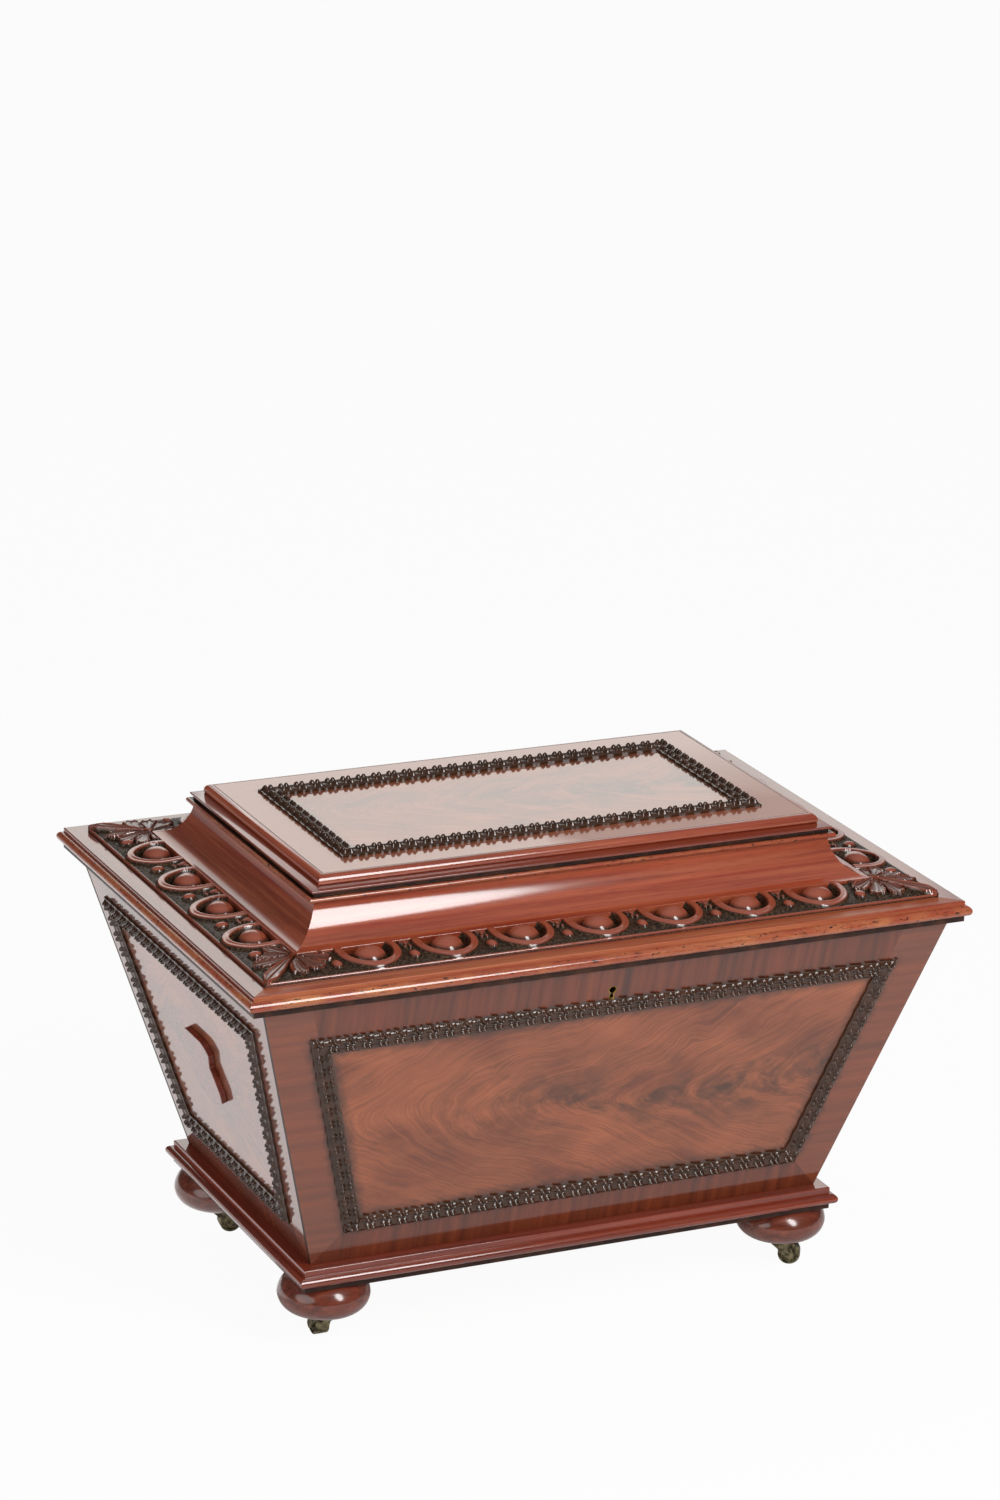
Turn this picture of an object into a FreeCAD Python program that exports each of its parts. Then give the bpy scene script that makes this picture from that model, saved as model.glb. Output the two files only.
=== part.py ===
import FreeCAD, Part
import math
import os
import Sketcher

# Sarcophagus cellarette on bun feet and castors.  Millimetres, Z up, the front faces -Y.
# Every size below is one cell of the "Sizes" sheet, and the sketches read the sheet.

SIZES = [
    # case
    ("case_wide", 712.0, "width over the top edges of the case"),
    ("case_deep", 492.0, "depth over the top edges of the case"),
    ("case_tall", 296.2, "height of the sloping sides"),
    ("case_run", 86.0, "how far each side leans out from foot to top"),
    ("board", 20.0, "thickness of the side boards, square to their faces"),
    # plinth
    ("plinth_tall", 22.8, "height of the plinth"),
    ("plinth_side", 11.3, "plinth arris beyond the case foot at the ends"),
    ("plinth_front", 13.1, "plinth arris beyond the case foot at front and back"),
    ("plinth_strip", 18.0, "depth of a plinth moulding behind its arris"),
    ("plinth_fillet", 5.8, "height of the fillet under the plinth bead"),
    ("plinth_bead", 10.2, "height of the plinth bead"),
    ("plinth_ledge", 1.5, "ledge between plinth arris and bead"),
    # feet and castors
    ("foot_tall", 34.8, "height of a bun foot"),
    ("foot_rad", 45.0, "radius of a bun foot"),
    ("foot_top_rad", 34.0, "radius of the seat on top of a foot"),
    ("foot_low_rad", 24.0, "radius of the flat under a foot"),
    ("foot_turn", 1.0, "arc middles of a bun above and below its half height"),
    ("foot_in", 23.5, "foot axis inside the case foot, both ways"),
    ("spigot_rad", 12.0, "radius of the spigot on a foot"),
    ("spigot_long", 14.0, "length of the spigot on a foot"),
    ("castor_tall", 31.4, "height of a castor under its foot"),
    ("plate_rad", 15.0, "radius of a castor plate"),
    ("plate_thick", 2.4, "thickness of a castor plate"),
    ("socket_rad", 6.0, "radius of a castor socket"),
    ("socket_long", 18.0, "length of a castor socket"),
    ("socket_end", 1.5, "thickness of the closed end of a socket"),
    ("socket_room", 1.0, "room over a socket in its foot"),
    ("stem_rad", 3.4, "radius of a castor stem"),
    ("stem_long", 14.0, "length of a castor stem above the plate"),
    ("crown_rad", 11.5, "radius of a castor horn at its crown"),
    ("crown_thick", 3.6, "thickness of a castor horn at its crown"),
    ("crown_edge", 1.5, "bevel around a castor horn at its crown"),
    ("arm_thick", 2.6, "thickness of a horn arm"),
    ("arm_end_rad", 5.0, "radius of a horn arm around the axle"),
    ("trail", 11.0, "axle behind the castor stem"),
    ("wheel_rad", 11.2, "radius of a castor wheel"),
    ("wheel_wide", 14.0, "width of a castor wheel"),
    ("axle_rad", 2.0, "radius of a castor axle"),
    ("hub_rad", 4.2, "radius of a wheel hub"),
    ("dish", 1.0, "depth of the dish beside a wheel hub"),
    ("tread", 2.4, "rim of a wheel around its dish"),
    ("castor_front_left", 0.0, "heading of the front left castor, degrees"),
    ("castor_front_right", 240.0, "heading of the front right castor, degrees"),
    ("castor_back_left", 262.0, "heading of the back left castor, degrees"),
    ("castor_back_right", 30.0, "heading of the back right castor, degrees"),
    # lid edge and frame
    ("lid_side", 19.0, "lid beyond the case top at the ends"),
    ("lid_front", 13.0, "lid beyond the case top at front and back"),
    ("lid_fillet", 6.0, "height of the fillet under the lid bead"),
    ("lid_bead", 10.2, "height of the lid bead"),
    ("lid_step", 4.8, "height of the step over the lid bead"),
    ("lid_ledge", 0.4, "ledge between lid step and bead"),
    ("rail_wide", 100.0, "width of a lid rail"),
    # carved border
    ("carve_in", 24.6, "carved border inside the lid edge"),
    ("carve_wide", 48.0, "width of the carved border"),
    ("carve_lip", 2.6, "height of the outer lip of the border"),
    ("carve_round", 13.0, "width of the rounded outer part of the border"),
    ("carve_round_tall", 7.4, "height of the border behind its rounded part"),
    ("carve_tall", 10.4, "height of the ground at the crest of the border"),
    ("carve_nose", 5.0, "width of the flat behind the crest"),
    ("round_turn", 5.0, "arc middle of the rounded part behind its inner end"),
    ("crest_turn", 2.0, "arc middle of the rise behind the crest"),
    ("egg_wide", 31.0, "width of an egg along the border"),
    ("egg_deep", 25.0, "width of an egg across the border"),
    ("egg_tall", 14.0, "top of an egg over the lid"),
    ("egg_in", 28.0, "egg middle inside the outer edge of the border"),
    ("shell_rad", 34.5, "outer radius of the shell around an egg"),
    ("shell_wide", 7.0, "width of the shell around an egg"),
    ("shell_tall", 2.4, "height of the shell over the ground"),
    ("shell_in", 36.0, "shell middle inside the outer edge of the border"),
    ("egg_count_long", 7.0, "eggs on a long border"),
    ("egg_pitch_long", 78.0, "pitch of the eggs on a long border"),
    ("egg_count_short", 4.0, "eggs on a short border"),
    ("egg_pitch_short", 84.0, "pitch of the eggs on a short border"),
    # cove and tablet
    ("cove_gap", 0.4, "gap between border and cove"),
    ("cove_run", 32.5, "how far the cove draws in"),
    ("cove_tall", 45.8, "height of the cove boards"),
    ("cove_foot", 10.0, "height of the upright foot of the cove"),
    ("cove_cap", 12.0, "width of a cove board along its top"),
    ("tablet_over", 3.2, "tablet fillet beyond the cove top"),
    ("tablet_bead", 4.8, "height of the bead under the tablet"),
    ("tablet_bead_out", 3.2, "bead beyond the tablet fillet"),
    ("tablet_hollow", 3.6, "height of the hollow in the tablet edge"),
    ("tablet_hollow_in", 2.6, "hollow behind the tablet fillet"),
    ("tablet_fillet", 4.0, "height of the tablet fillet"),
    ("crown_in", 10.3, "upper board inside the tablet fillet"),
    ("crown_tall", 8.8, "thickness of the upper board"),
    ("inlay_in", 7.8, "top panel inside the edge of the upper board"),
    ("inlay_thick", 3.0, "thickness of the top panel"),
    ("inlay_gap", 0.1, "gap around the top panel"),
    # ripple frames
    ("ripple_wide", 18.5, "width of the ripple mouldings"),
    ("ripple_thick", 8.0, "thickness of the ripple mouldings"),
    ("ripple_round", 2.6, "rounding of the ripple mouldings"),
    ("ripple_top_in", 37.0, "ripple frame below the top of a side"),
    ("ripple_low_in", 34.0, "ripple frame above the foot of a side"),
    ("ripple_end_in", 38.3, "ripple frame inside the slanting edges"),
    ("ripple_lid_in", 32.9, "ripple frame inside the edge of the top panel"),
    # shaped blocks on the end panels
    ("shield_tall", 77.0, "height of a shield"),
    ("shield_wide", 73.0, "width of a shield"),
    ("shield_top", 36.0, "width of the straight top of a shield"),
    ("shield_waist", 54.0, "width of a shield at its notches"),
    ("shield_ear", 10.8, "corners of a shield below its top"),
    ("shield_notch", 26.2, "notches of a shield below its top"),
    ("shield_belly", 52.4, "widest part of a shield below its top"),
    ("shield_hip", 63.9, "hips of a shield below its top"),
    ("shield_narrow", 2.0, "corners and hips inside the full width of a shield"),
    ("shield_turn", 4.0, "arc middles of the shoulders inside the straight top"),
    ("shield_thick", 6.3, "thickness of a shield"),
    # lining and bottle divisions
    ("zinc", 1.2, "thickness of the zinc lining"),
    ("zinc_gap", 0.2, "gap between lining and boards"),
    ("zinc_drop", 16.0, "lining below the case top"),
    ("slat", 8.0, "thickness of a division"),
    ("slat_tall", 150.0, "height of the divisions"),
    ("slat_gap", 0.3, "gap at the ends of the divisions"),
    ("slat_fit", 0.15, "clearance in a halved joint, each side"),
    ("row_wide", 90.0, "distance between the two long divisions"),
    ("cell_pitch", 122.0, "distance between cross divisions"),
    # hinges
    ("hinge_at", 205.0, "hinge middle from the middle of the case"),
    ("hinge_long", 65.0, "length of a hinge"),
    ("hinge_out", 4.0, "hinge pin behind the case top"),
    ("hinge_drop", 4.0, "hinge pin below the lid"),
    ("knuckle_rad", 3.7, "radius of a hinge knuckle"),
    ("knuckle_gap", 0.3, "gap between knuckles"),
    ("pin_rad", 1.6, "radius of a hinge pin"),
    ("leaf", 1.9, "thickness of a hinge leaf"),
    ("leaf_wide", 28.0, "width of a hinge leaf from the pin"),
    ("web", 2.0, "half thickness of the web over an upper knuckle"),
    # lock
    ("key_down", 27.43, "keyhole middle below the case top, down the slope"),
    ("key_rad", 3.4, "radius of the round of the keyhole"),
    ("key_slot", 1.5, "half width of the keyhole slot at its top"),
    ("key_slot_low", 1.9, "half width of the keyhole slot at its foot"),
    ("key_drop", 9.3, "foot of the keyhole under its middle"),
    ("key_rim", 0.9, "rim of the keyhole lining"),
    ("key_lining", 2.0, "depth of the keyhole lining"),
    ("lock_wide", 72.0, "width of the lock"),
    ("lock_tall", 32.0, "height of the lock"),
    ("lock_thick", 7.5, "thickness of the lock"),
    ("lock_gap", 0.1, "gap between the keyhole lining and the lock"),
    ("lock_wall", 1.0, "wall of the lock"),
    ("runner_at", 10.0, "runner of the bolt from the middle of the lock"),
    ("runner_wide", 4.0, "width of a runner"),
    ("link_at", 16.5, "link from the middle of the lock"),
    ("link_thick", 2.4, "thickness of a link"),
    ("link_wide", 4.0, "width of a link"),
    ("link_drop", 17.0, "reach of a link into the lock"),
    ("link_play", 0.5, "play of a bolt tip in the hole of its link"),
    ("link_room", 1.0, "room beside a link in the lock"),
    ("link_plate", 1.8, "thickness of the link plate"),
    ("link_plate_wide", 11.0, "width of the link plate"),
    ("bolt_thick", 1.8, "thickness of the bolt"),
    ("bolt_bar", 4.0, "height of the bolt bar"),
    ("bolt_tip", 3.0, "height of a bolt tip"),
    ("bolt_tip_high", 7.0, "foot of a bolt tip above the foot of its link"),
    ("bolt_neck", 3.0, "width of the neck that carries a bolt tip"),
    ("bolt_reach", 9.5, "length of a bolt tip with its neck"),
    ("bolt_clear", 1.3, "bolt tip to its link when unlocked"),
    ("bolt_drop", 1.0, "bolt bar below the feet of the links"),
    ("bolt_travel", 7.0, "travel of the bolt"),
    # clearances shared by the fits
    ("seam", 0.1, "gap between faces that meet in use"),
    ("spin_fit", 0.06, "clearance of a turning fit, on the radius"),
    ("glue_fit", 0.05, "clearance of a glued or let-in fit, each side"),
    ("castor_gap", 0.35, "gap between castor pieces that turn on each other"),
]

doc = FreeCAD.newDocument("cellarette")
sheet = doc.addObject("Spreadsheet::Sheet", "Sizes")
for row, (alias, number, note) in enumerate(SIZES, start=1):
    sheet.set("A%d" % row, note)
    sheet.set("B%d" % row, str(number))
    sheet.setAlias("B%d" % row, alias)
doc.recompute()

RAD = math.pi / 180.0
SPARE = 5.0     # how far a cut runs past the piece it cuts


# ---------------------------------------------------------------- sizes with formulas

class Size:
    """A number together with the sheet formula that gives it."""

    def __init__(self, value, text):
        self.value, self.text = value, text

    def __add__(self, other):
        other = as_size(other)
        return Size(self.value + other.value, "(%s + %s)" % (self.text, other.text))

    def __sub__(self, other):
        other = as_size(other)
        return Size(self.value - other.value, "(%s - %s)" % (self.text, other.text))

    def __mul__(self, other):
        other = as_size(other)
        return Size(self.value * other.value, "(%s * %s)" % (self.text, other.text))

    def __truediv__(self, other):
        other = as_size(other)
        return Size(self.value / other.value, "(%s / %s)" % (self.text, other.text))

    def __radd__(self, other):
        return as_size(other) + self

    def __rsub__(self, other):
        return as_size(other) - self

    def __rmul__(self, other):
        return as_size(other) * self

    def __neg__(self):
        return Size(-self.value, "(0 - %s)" % self.text)


def as_size(item):
    return item if isinstance(item, Size) else Size(float(item), "%.6g" % item)


def root(size):
    """Square root of a size."""
    return Size(math.sqrt(size.value), "sqrt(%s)" % size.text)


class Sheet:
    """Reads a size by its alias, as sz.alias."""

    def __getattr__(self, alias):
        return Size(float(sheet.get(alias)), "Sizes." + alias)


sz = Sheet()

# levels and rectangles that several pieces share
plinth_z = sz.castor_tall + sz.foot_tall
case_z = plinth_z + sz.plinth_tall
lid_z = case_z + sz.case_tall
top_x, top_y = sz.case_wide / 2, sz.case_deep / 2
foot_x, foot_y = top_x - sz.case_run, top_y - sz.case_run
plinth_x, plinth_y = foot_x + sz.plinth_side, foot_y + sz.plinth_front
lid_x, lid_y = top_x + sz.lid_side, top_y + sz.lid_front
slope = root(sz.case_run * sz.case_run + sz.case_tall * sz.case_tall)
lean = sz.case_run / sz.case_tall                   # outward run for each mm of height
board_flat = sz.board * slope / sz.case_tall        # board measured level
lock_in = (sz.lock_tall * lean + sz.key_lining * slope / sz.case_tall    # lock middle inside
           + sz.lock_gap + sz.lock_thick / 2)                            # the case top
rail_z = sz.lid_fillet + sz.lid_bead + sz.lid_step  # levels above the lid underside
cove_z = rail_z + sz.cove_tall
tablet_z = cove_z + sz.tablet_bead + sz.tablet_hollow + sz.tablet_fillet
cove_in = sz.carve_in + sz.carve_wide + sz.cove_gap
tablet_in = cove_in + sz.cove_run - sz.tablet_over
crown_in = tablet_in + sz.crown_in
inlay_in = crown_in + sz.inlay_in


# ---------------------------------------------------------------- modelling helpers

def new_body(label):
    body = doc.addObject("PartDesign::Body", label)
    body.Label = label
    return body


def new_sketch(body, role, lift=None):
    """Empty sketch on the body's own plane, lifted along the plane's normal."""
    plane = [item for item in body.Origin.OriginFeatures if item.Role == role][0]
    sketch = body.newObject("Sketcher::SketchObject", body.Name + "_sketch")
    sketch.AttachmentSupport = [(plane, "")]
    sketch.MapMode = "FlatFace"
    if lift is not None:
        sketch.AttachmentOffset.Base.z = lift.value
        sketch.setExpression("AttachmentOffset.Base.z", lift.text)
    return sketch


def bound(sketch, kind, geo, point, size):
    """Distance of a sketch point from the origin, read from the sheet."""
    index = sketch.addConstraint(Sketcher.Constraint(kind, -1, 1, geo, point, size.value))
    sketch.setExpression("Constraints[%d]" % index, size.text)


def arc_between(start, end, along, middle, turns):
    """Arc from start to end about a middle known in one direction."""
    (ax, ay), (bx, by) = start, end
    half = (bx * bx + by * by - ax * ax - ay * ay) / 2.0
    if along == "x":
        cx, cy = middle, (half - (bx - ax) * middle) / (by - ay)
    else:
        cx, cy = (half - (by - ay) * middle) / (bx - ax), middle
    radius = math.hypot(ax - cx, ay - cy)
    first, last = math.atan2(ay - cy, ax - cx), math.atan2(by - cy, bx - cx)
    if turns < 0:
        first, last = last, first
    if last <= first:
        last += 2 * math.pi
    circle = Part.Circle(FreeCAD.Vector(cx, cy, 0), FreeCAD.Vector(0, 0, 1), radius)
    return Part.ArcOfCircle(circle, first, last)


def outline(sketch, points, arcs=None):
    """Closed outline with every corner bound.  arcs: side -> (x or y, middle, turn)."""
    arcs = arcs or {}
    points = [(as_size(x), as_size(y)) for x, y in points]
    plain = [(x.value, y.value) for x, y in points]
    count = len(points)
    ends = []
    first = sketch.GeometryCount
    for i in range(count):
        start, end = plain[i], plain[(i + 1) % count]
        if i in arcs:
            along, middle, turns = arcs[i]
            shape = arc_between(start, end, along, as_size(middle).value, turns)
        else:
            turns = 1
            shape = Part.LineSegment(FreeCAD.Vector(*start, 0), FreeCAD.Vector(*end, 0))
        ends.append((sketch.addGeometry(shape), *((1, 2) if turns > 0 else (2, 1))))
    for i in range(count):
        here, after = ends[i], ends[(i + 1) % count]
        sketch.addConstraint(Sketcher.Constraint("Coincident", here[0], here[2],
                                                 after[0], after[1]))
    for (geo, begin, _), (x, y) in zip(ends, points):
        bound(sketch, "DistanceX", geo, begin, x)
        bound(sketch, "DistanceY", geo, begin, y)
    for i, (along, middle, _) in arcs.items():
        bound(sketch, "Distance" + along.upper(), first + i, 3, as_size(middle))


def box(sketch, x0, x1, y0, y1):
    outline(sketch, [(x0, y0), (x1, y0), (x1, y1), (x0, y1)])


def ring(sketch, x, y, radius):
    """Circle with its middle and radius bound."""
    x, y, radius = as_size(x), as_size(y), as_size(radius)
    middle = FreeCAD.Vector(x.value, y.value, 0)
    geo = sketch.addGeometry(Part.Circle(middle, FreeCAD.Vector(0, 0, 1), radius.value))
    bound(sketch, "DistanceX", geo, 3, x)
    bound(sketch, "DistanceY", geo, 3, y)
    index = sketch.addConstraint(Sketcher.Constraint("Radius", geo, radius.value))
    sketch.setExpression("Constraints[%d]" % index, radius.text)


def feature(body, kind, sketch, length=None, side="One side", back=False):
    """Pad or pocket of a sketch; a pocket without a length runs right through."""
    item = body.newObject("PartDesign::" + kind, body.Name + "_" + kind.lower())
    item.Profile = sketch
    item.SideType = side
    item.Reversed = back
    if length is None:
        item.Type = "ThroughAll"
    else:
        length = as_size(length)
        item.Length = length.value
        item.setExpression("Length", length.text)
    sketch.Visibility = False
    body.Tip = item
    return item


def pad(body, sketch, length, side="One side", back=False):
    return feature(body, "Pad", sketch, length, side, back)


def pocket(body, sketch, length=None, side="One side", back=False):
    return feature(body, "Pocket", sketch, length, side, back)


def through(body, sketch):
    return feature(body, "Pocket", sketch, None, "Symmetric")


def spun(body, sketch, kind="Revolution"):
    """Full turn of a sketch about its upright axis."""
    item = body.newObject("PartDesign::" + kind, body.Name + "_" + kind.lower())
    item.Profile = sketch
    item.ReferenceAxis = (sketch, ["V_Axis"])
    item.Angle = 360.0
    sketch.Visibility = False
    body.Tip = item
    return item


def rounded(body, base, radius, wanted):
    """Rounds the edges of a feature for which wanted(edge) is true."""
    doc.recompute()
    names = ["Edge%d" % (i + 1) for i, edge in enumerate(base.Shape.Edges) if wanted(edge)]
    item = body.newObject("PartDesign::Fillet", body.Name + "_fillet")
    item.Base = (base, names)
    item.Radius = radius.value
    item.setExpression("Radius", radius.text)
    body.Tip = item
    return item


def combined(kind, label, shapes):
    """Boolean of several shapes: MultiFuse or MultiCommon."""
    item = doc.addObject("Part::" + kind, label)
    item.Label = label
    item.Shapes = shapes
    return item


def cut_by(label, base, tool):
    """Piece that is left of base once tool is taken away."""
    item = doc.addObject("Part::Cut", label)
    item.Label = label
    item.Base, item.Tool = base, tool
    return item


def place(body, x=0, y=0, z=0, turn=0, tilt="0 deg"):
    """Tilts a piece about X, moves it, then turns it about the object's Z axis."""
    x, y, z, turn = (as_size(item) for item in (x, y, z, turn))
    body.setExpression("Placement", (
        "placement(vector(0; 0; 0); rotation(vector(0; 0; 1); %s)) * "
        "placement(vector(%s; %s; %s); rotation(vector(1; 0; 0); %s))"
        % (turn.text, x.text, y.text, z.text, tilt)))


def place_spin(body, x, y, z, heading):
    """Turns a piece about its own Z axis and moves it to its place."""
    body.setExpression("Placement", (
        "placement(vector(%s; %s; %s); rotation(vector(0; 0; 1); %s))"
        % (x.text, y.text, z.text, heading.text)))


def on_slope(body, turn, half):
    """Seats a piece on the outer face of a side: x along it, y up it, z outwards."""
    place(body, 0, -half, case_z, turn, "90 deg + atan(%s)" % lean.text)


def mitred(label, turn, half_long, half_deep, section, arcs, z, bulge=0):
    """Length of moulding along one side of a rectangle, cut at 45 degrees at both ends.

    The section is given as (outwards, upwards) from the edge of the rectangle, and
    bulge is how far its arcs stand out past its corners.
    """
    body = new_body(label)
    outs = sorted((out for out, _ in section), key=lambda out: out.value)
    inward, outward = SPARE - outs[0], outs[-1] + bulge + SPARE
    sketch = new_sketch(body, "YZ_Plane")
    flipped = [(-(half_deep + out), up) for out, up in section]
    turned = {side: (along, -(half_deep + mid) if along == "x" else mid, -way)
              for side, (along, mid, way) in arcs.items()}
    outline(sketch, flipped, turned)
    pad(body, sketch, 2 * (half_long + outward), "Symmetric")
    cut = new_sketch(body, "XY_Plane")
    far = half_long + outward + SPARE
    for way in (-1, 1):
        outline(cut, [(way * (half_long - inward), inward - half_deep),
                      (way * (half_long + outward), -(outward + half_deep)),
                      (way * far, -(outward + half_deep)),
                      (way * far, inward - half_deep)])
    through(body, cut)
    place(body, 0, 0, z, turn)
    return body


def four_sides(half_x, half_y):
    """Side name, turn about Z, half length and half depth of a rectangle's sides."""
    return [("front", 0, half_x, half_y), ("right", 90, half_y, half_x),
            ("back", 180, half_x, half_y), ("left", 270, half_y, half_x)]


# ---------------------------------------------------------------- case

def keyhole(sketch, rim):
    """Keyhole outline, widened by rim, in the sloping frame of the front."""
    high, rad = slope - sz.key_down, sz.key_rad + rim
    wide, low = sz.key_slot + rim, sz.key_slot_low + rim
    joint = high - root(rad * rad - wide * wide)
    foot = high - sz.key_drop - rim
    outline(sketch, [(-low, foot), (low, foot), (wide, joint), (-wide, joint)],
            {2: ("y", high, 1)})


def case_boards():
    """Four sloping boards, mitred at the corners of the case."""
    run, tall = sz.case_run, sz.case_tall
    section = [(-run, as_size(0)), (as_size(0), tall), (-board_flat, tall),
               (-(run + board_flat), as_size(0))]
    made = {}
    for side, turn, half_long, half_deep in four_sides(top_x, top_y):
        label = "front_board" if side == "front" else side + "_panel"
        made[side] = mitred(label, turn, half_long, half_deep, section, {}, case_z)
    cut_lock_mortise(made["front"])
    cut_hinge_seats(made["back"])
    made["front"] = cut_by("front_panel", made["front"], keyhole_tool())
    return list(made.values())


def cut_lock_mortise(body):
    """Mortise for the lock from the top edge."""
    fit = sz.glue_fit
    mortise = new_sketch(body, "XY_Plane", sz.case_tall - sz.lock_tall - fit)
    half = sz.lock_thick / 2 + fit
    middle = lock_in - top_y
    box(mortise, -(sz.lock_wide / 2 + fit), sz.lock_wide / 2 + fit, middle - half, middle + half)
    pocket(body, mortise, sz.lock_tall + SPARE, back=True)


def keyhole_tool():
    """Prism of the keyhole with room for its lining, square to the sloping front."""
    body = new_body("keyhole_tool")
    sketch = new_sketch(body, "XY_Plane", as_size(1))
    keyhole(sketch, sz.key_rim + sz.glue_fit)
    pad(body, sketch, lock_in, back=True)
    on_slope(body, 0, foot_y)
    return body


def hinge_box(sketch, turn_sign, low, high):
    """Outline of both hinge seats between two depths behind the middle of the lid."""
    half = sz.hinge_long / 2 + sz.glue_fit
    for way in (-1, 1):
        box(sketch, way * sz.hinge_at - half, way * sz.hinge_at + half,
            turn_sign * low, turn_sign * high)


def cut_hinge_seats(body):
    """Seats for the lower hinge leaves, let into the top edge of the back board."""
    inner = top_y + sz.hinge_out - sz.leaf_wide - sz.glue_fit
    seat = new_sketch(body, "XY_Plane", sz.case_tall - sz.leaf - sz.seam)
    hinge_box(seat, -1, inner, top_y + SPARE)
    pocket(body, seat, sz.leaf + SPARE, back=True)


def base_board():
    """Board inside the plinth; the feet are let into it."""
    body = new_body("base_board")
    sketch = new_sketch(body, "XY_Plane")
    half_x, half_y = plinth_x - sz.plinth_strip, plinth_y - sz.plinth_strip
    box(sketch, -half_x, half_x, -half_y, half_y)
    pad(body, sketch, sz.plinth_tall)
    holes = new_sketch(body, "XY_Plane")
    for sx in (-1, 1):
        for sy in (-1, 1):
            ring(holes, sx * (foot_x - sz.foot_in), sy * (foot_y - sz.foot_in),
                 sz.spigot_rad + sz.glue_fit)
    pocket(body, holes, sz.spigot_long + sz.glue_fit, back=True)
    place(body, z=plinth_z)
    return body


def plinth_mouldings():
    """Fillet, bead and upright band around the base board."""
    low, high = sz.plinth_fillet, sz.plinth_fillet + sz.plinth_bead
    back, zero = -sz.plinth_strip, as_size(0)
    edge = zero + sz.plinth_ledge
    section = [(back, zero), (zero, zero), (zero, low), (edge, low), (edge, high),
               (zero, high), (zero, sz.plinth_tall), (back, sz.plinth_tall)]
    arcs = {3: ("x", edge, 1)}
    return [mitred("plinth_" + side, turn, half_long, half_deep, section, arcs, plinth_z,
                   sz.plinth_bead / 2)
            for side, turn, half_long, half_deep in four_sides(plinth_x, plinth_y)]


def zinc_lining():
    """Open zinc box: floor and four walls that follow the inside of the boards."""
    body = new_body("zinc_lining")
    top = sz.case_tall - sz.zinc_drop
    outer_x = foot_x - board_flat - sz.zinc_gap
    outer_y = foot_y - board_flat - sz.zinc_gap
    wall = sz.zinc * slope / sz.case_tall
    tool = None
    for kind, inset, low in (("AdditiveLoft", as_size(0), as_size(0)),
                             ("SubtractiveLoft", wall, sz.zinc)):
        sections = []
        for level in (low, top):
            half_x = outer_x - inset + level * lean
            half_y = outer_y - inset + level * lean
            sketch = new_sketch(body, "XY_Plane", level)
            box(sketch, -half_x, half_x, -half_y, half_y)
            sketch.Visibility = False
            sections.append(sketch)
        tool = body.newObject("PartDesign::" + kind, "lining_" + kind.lower())
        tool.Profile = sections[0]
        tool.Sections = [sections[1]]
        tool.Ruled = True
        body.Tip = tool
    place(body, z=case_z)
    return body


def slat_half(half_foot, level):
    """Half length of a division at a height above the case foot."""
    wall = (sz.zinc * slope / sz.case_tall) + board_flat + sz.zinc_gap + sz.slat_gap
    return half_foot - wall + level * lean


def divisions(label, role, half_foot, places, crossings, notch_low):
    """Upright slats with sloping ends, halved where the other slats cross them."""
    body = new_body(label)
    floor, top = sz.zinc, sz.zinc + sz.slat_tall
    low, high = slat_half(half_foot, floor), slat_half(half_foot, top)
    mid = floor + sz.slat_tall / 2
    bottoms = []
    for at in places:
        sketch = new_sketch(body, role, at - sz.slat / 2)
        outline(sketch, [(-low, floor), (low, floor), (high, top), (-high, top)])
        bottoms.append(pad(body, sketch, sz.slat))
        notch = new_sketch(body, role, at - sz.slat)
        half = sz.slat / 2 + sz.slat_fit
        for cross in crossings:
            ends = ((floor - SPARE, mid + sz.slat_fit) if notch_low
                    else (mid - sz.slat_fit, top + SPARE))
            box(notch, cross - half, cross + half, *ends)
        pocket(body, notch, sz.slat * 2, back=True)
    place(body, z=case_z)
    return body


def ripple_frame(label, turn, half_foot, half_deep):
    """Frame of rounded moulding on a sloping side, its ends parallel to the corners."""
    body = new_body(label)
    rise = sz.case_run / slope
    low, high = sz.ripple_low_in, slope - sz.ripple_top_in
    sketch = new_sketch(body, "XY_Plane")
    for inset in (as_size(0), sz.ripple_wide):
        y0, y1 = low + inset, high - inset
        x0 = half_foot - sz.ripple_end_in - inset + y0 * rise
        x1 = half_foot - sz.ripple_end_in - inset + y1 * rise
        outline(sketch, [(-x0, y0), (x0, y0), (x1, y1), (-x1, y1)])
    base = pad(body, sketch, sz.ripple_thick)
    thick = sz.ripple_thick.value
    rounded(body, base, sz.ripple_round,
            lambda edge: all(abs(v.Z - thick) < 1e-4 for v in edge.Vertexes))
    on_slope(body, turn, half_deep)
    return body


def shield(label, turn):
    """Shield-shaped block in the middle of an end, with notched sides and a pointed foot."""
    body = new_body(label)
    high, tall = slope / 2 + sz.shield_tall / 2, sz.shield_tall
    top, wide, waist = sz.shield_top / 2, sz.shield_wide / 2, sz.shield_waist / 2
    ear, notch = high - sz.shield_ear, high - sz.shield_notch
    belly, hip = high - sz.shield_belly, high - sz.shield_hip
    edge, middle = wide - sz.shield_narrow, top - sz.shield_turn
    sketch = new_sketch(body, "XY_Plane")
    outline(sketch, [(-top, high), (-edge, ear), (-waist, notch), (-wide, belly),
                     (-edge, hip), (as_size(0), high - tall), (edge, hip),
                     (wide, belly), (waist, notch), (edge, ear), (top, high)],
            {0: ("x", -middle, 1), 9: ("x", middle, 1)})
    pad(body, sketch, sz.shield_thick)
    on_slope(body, turn, foot_x)
    return body


# ---------------------------------------------------------------- feet and castors

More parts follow.
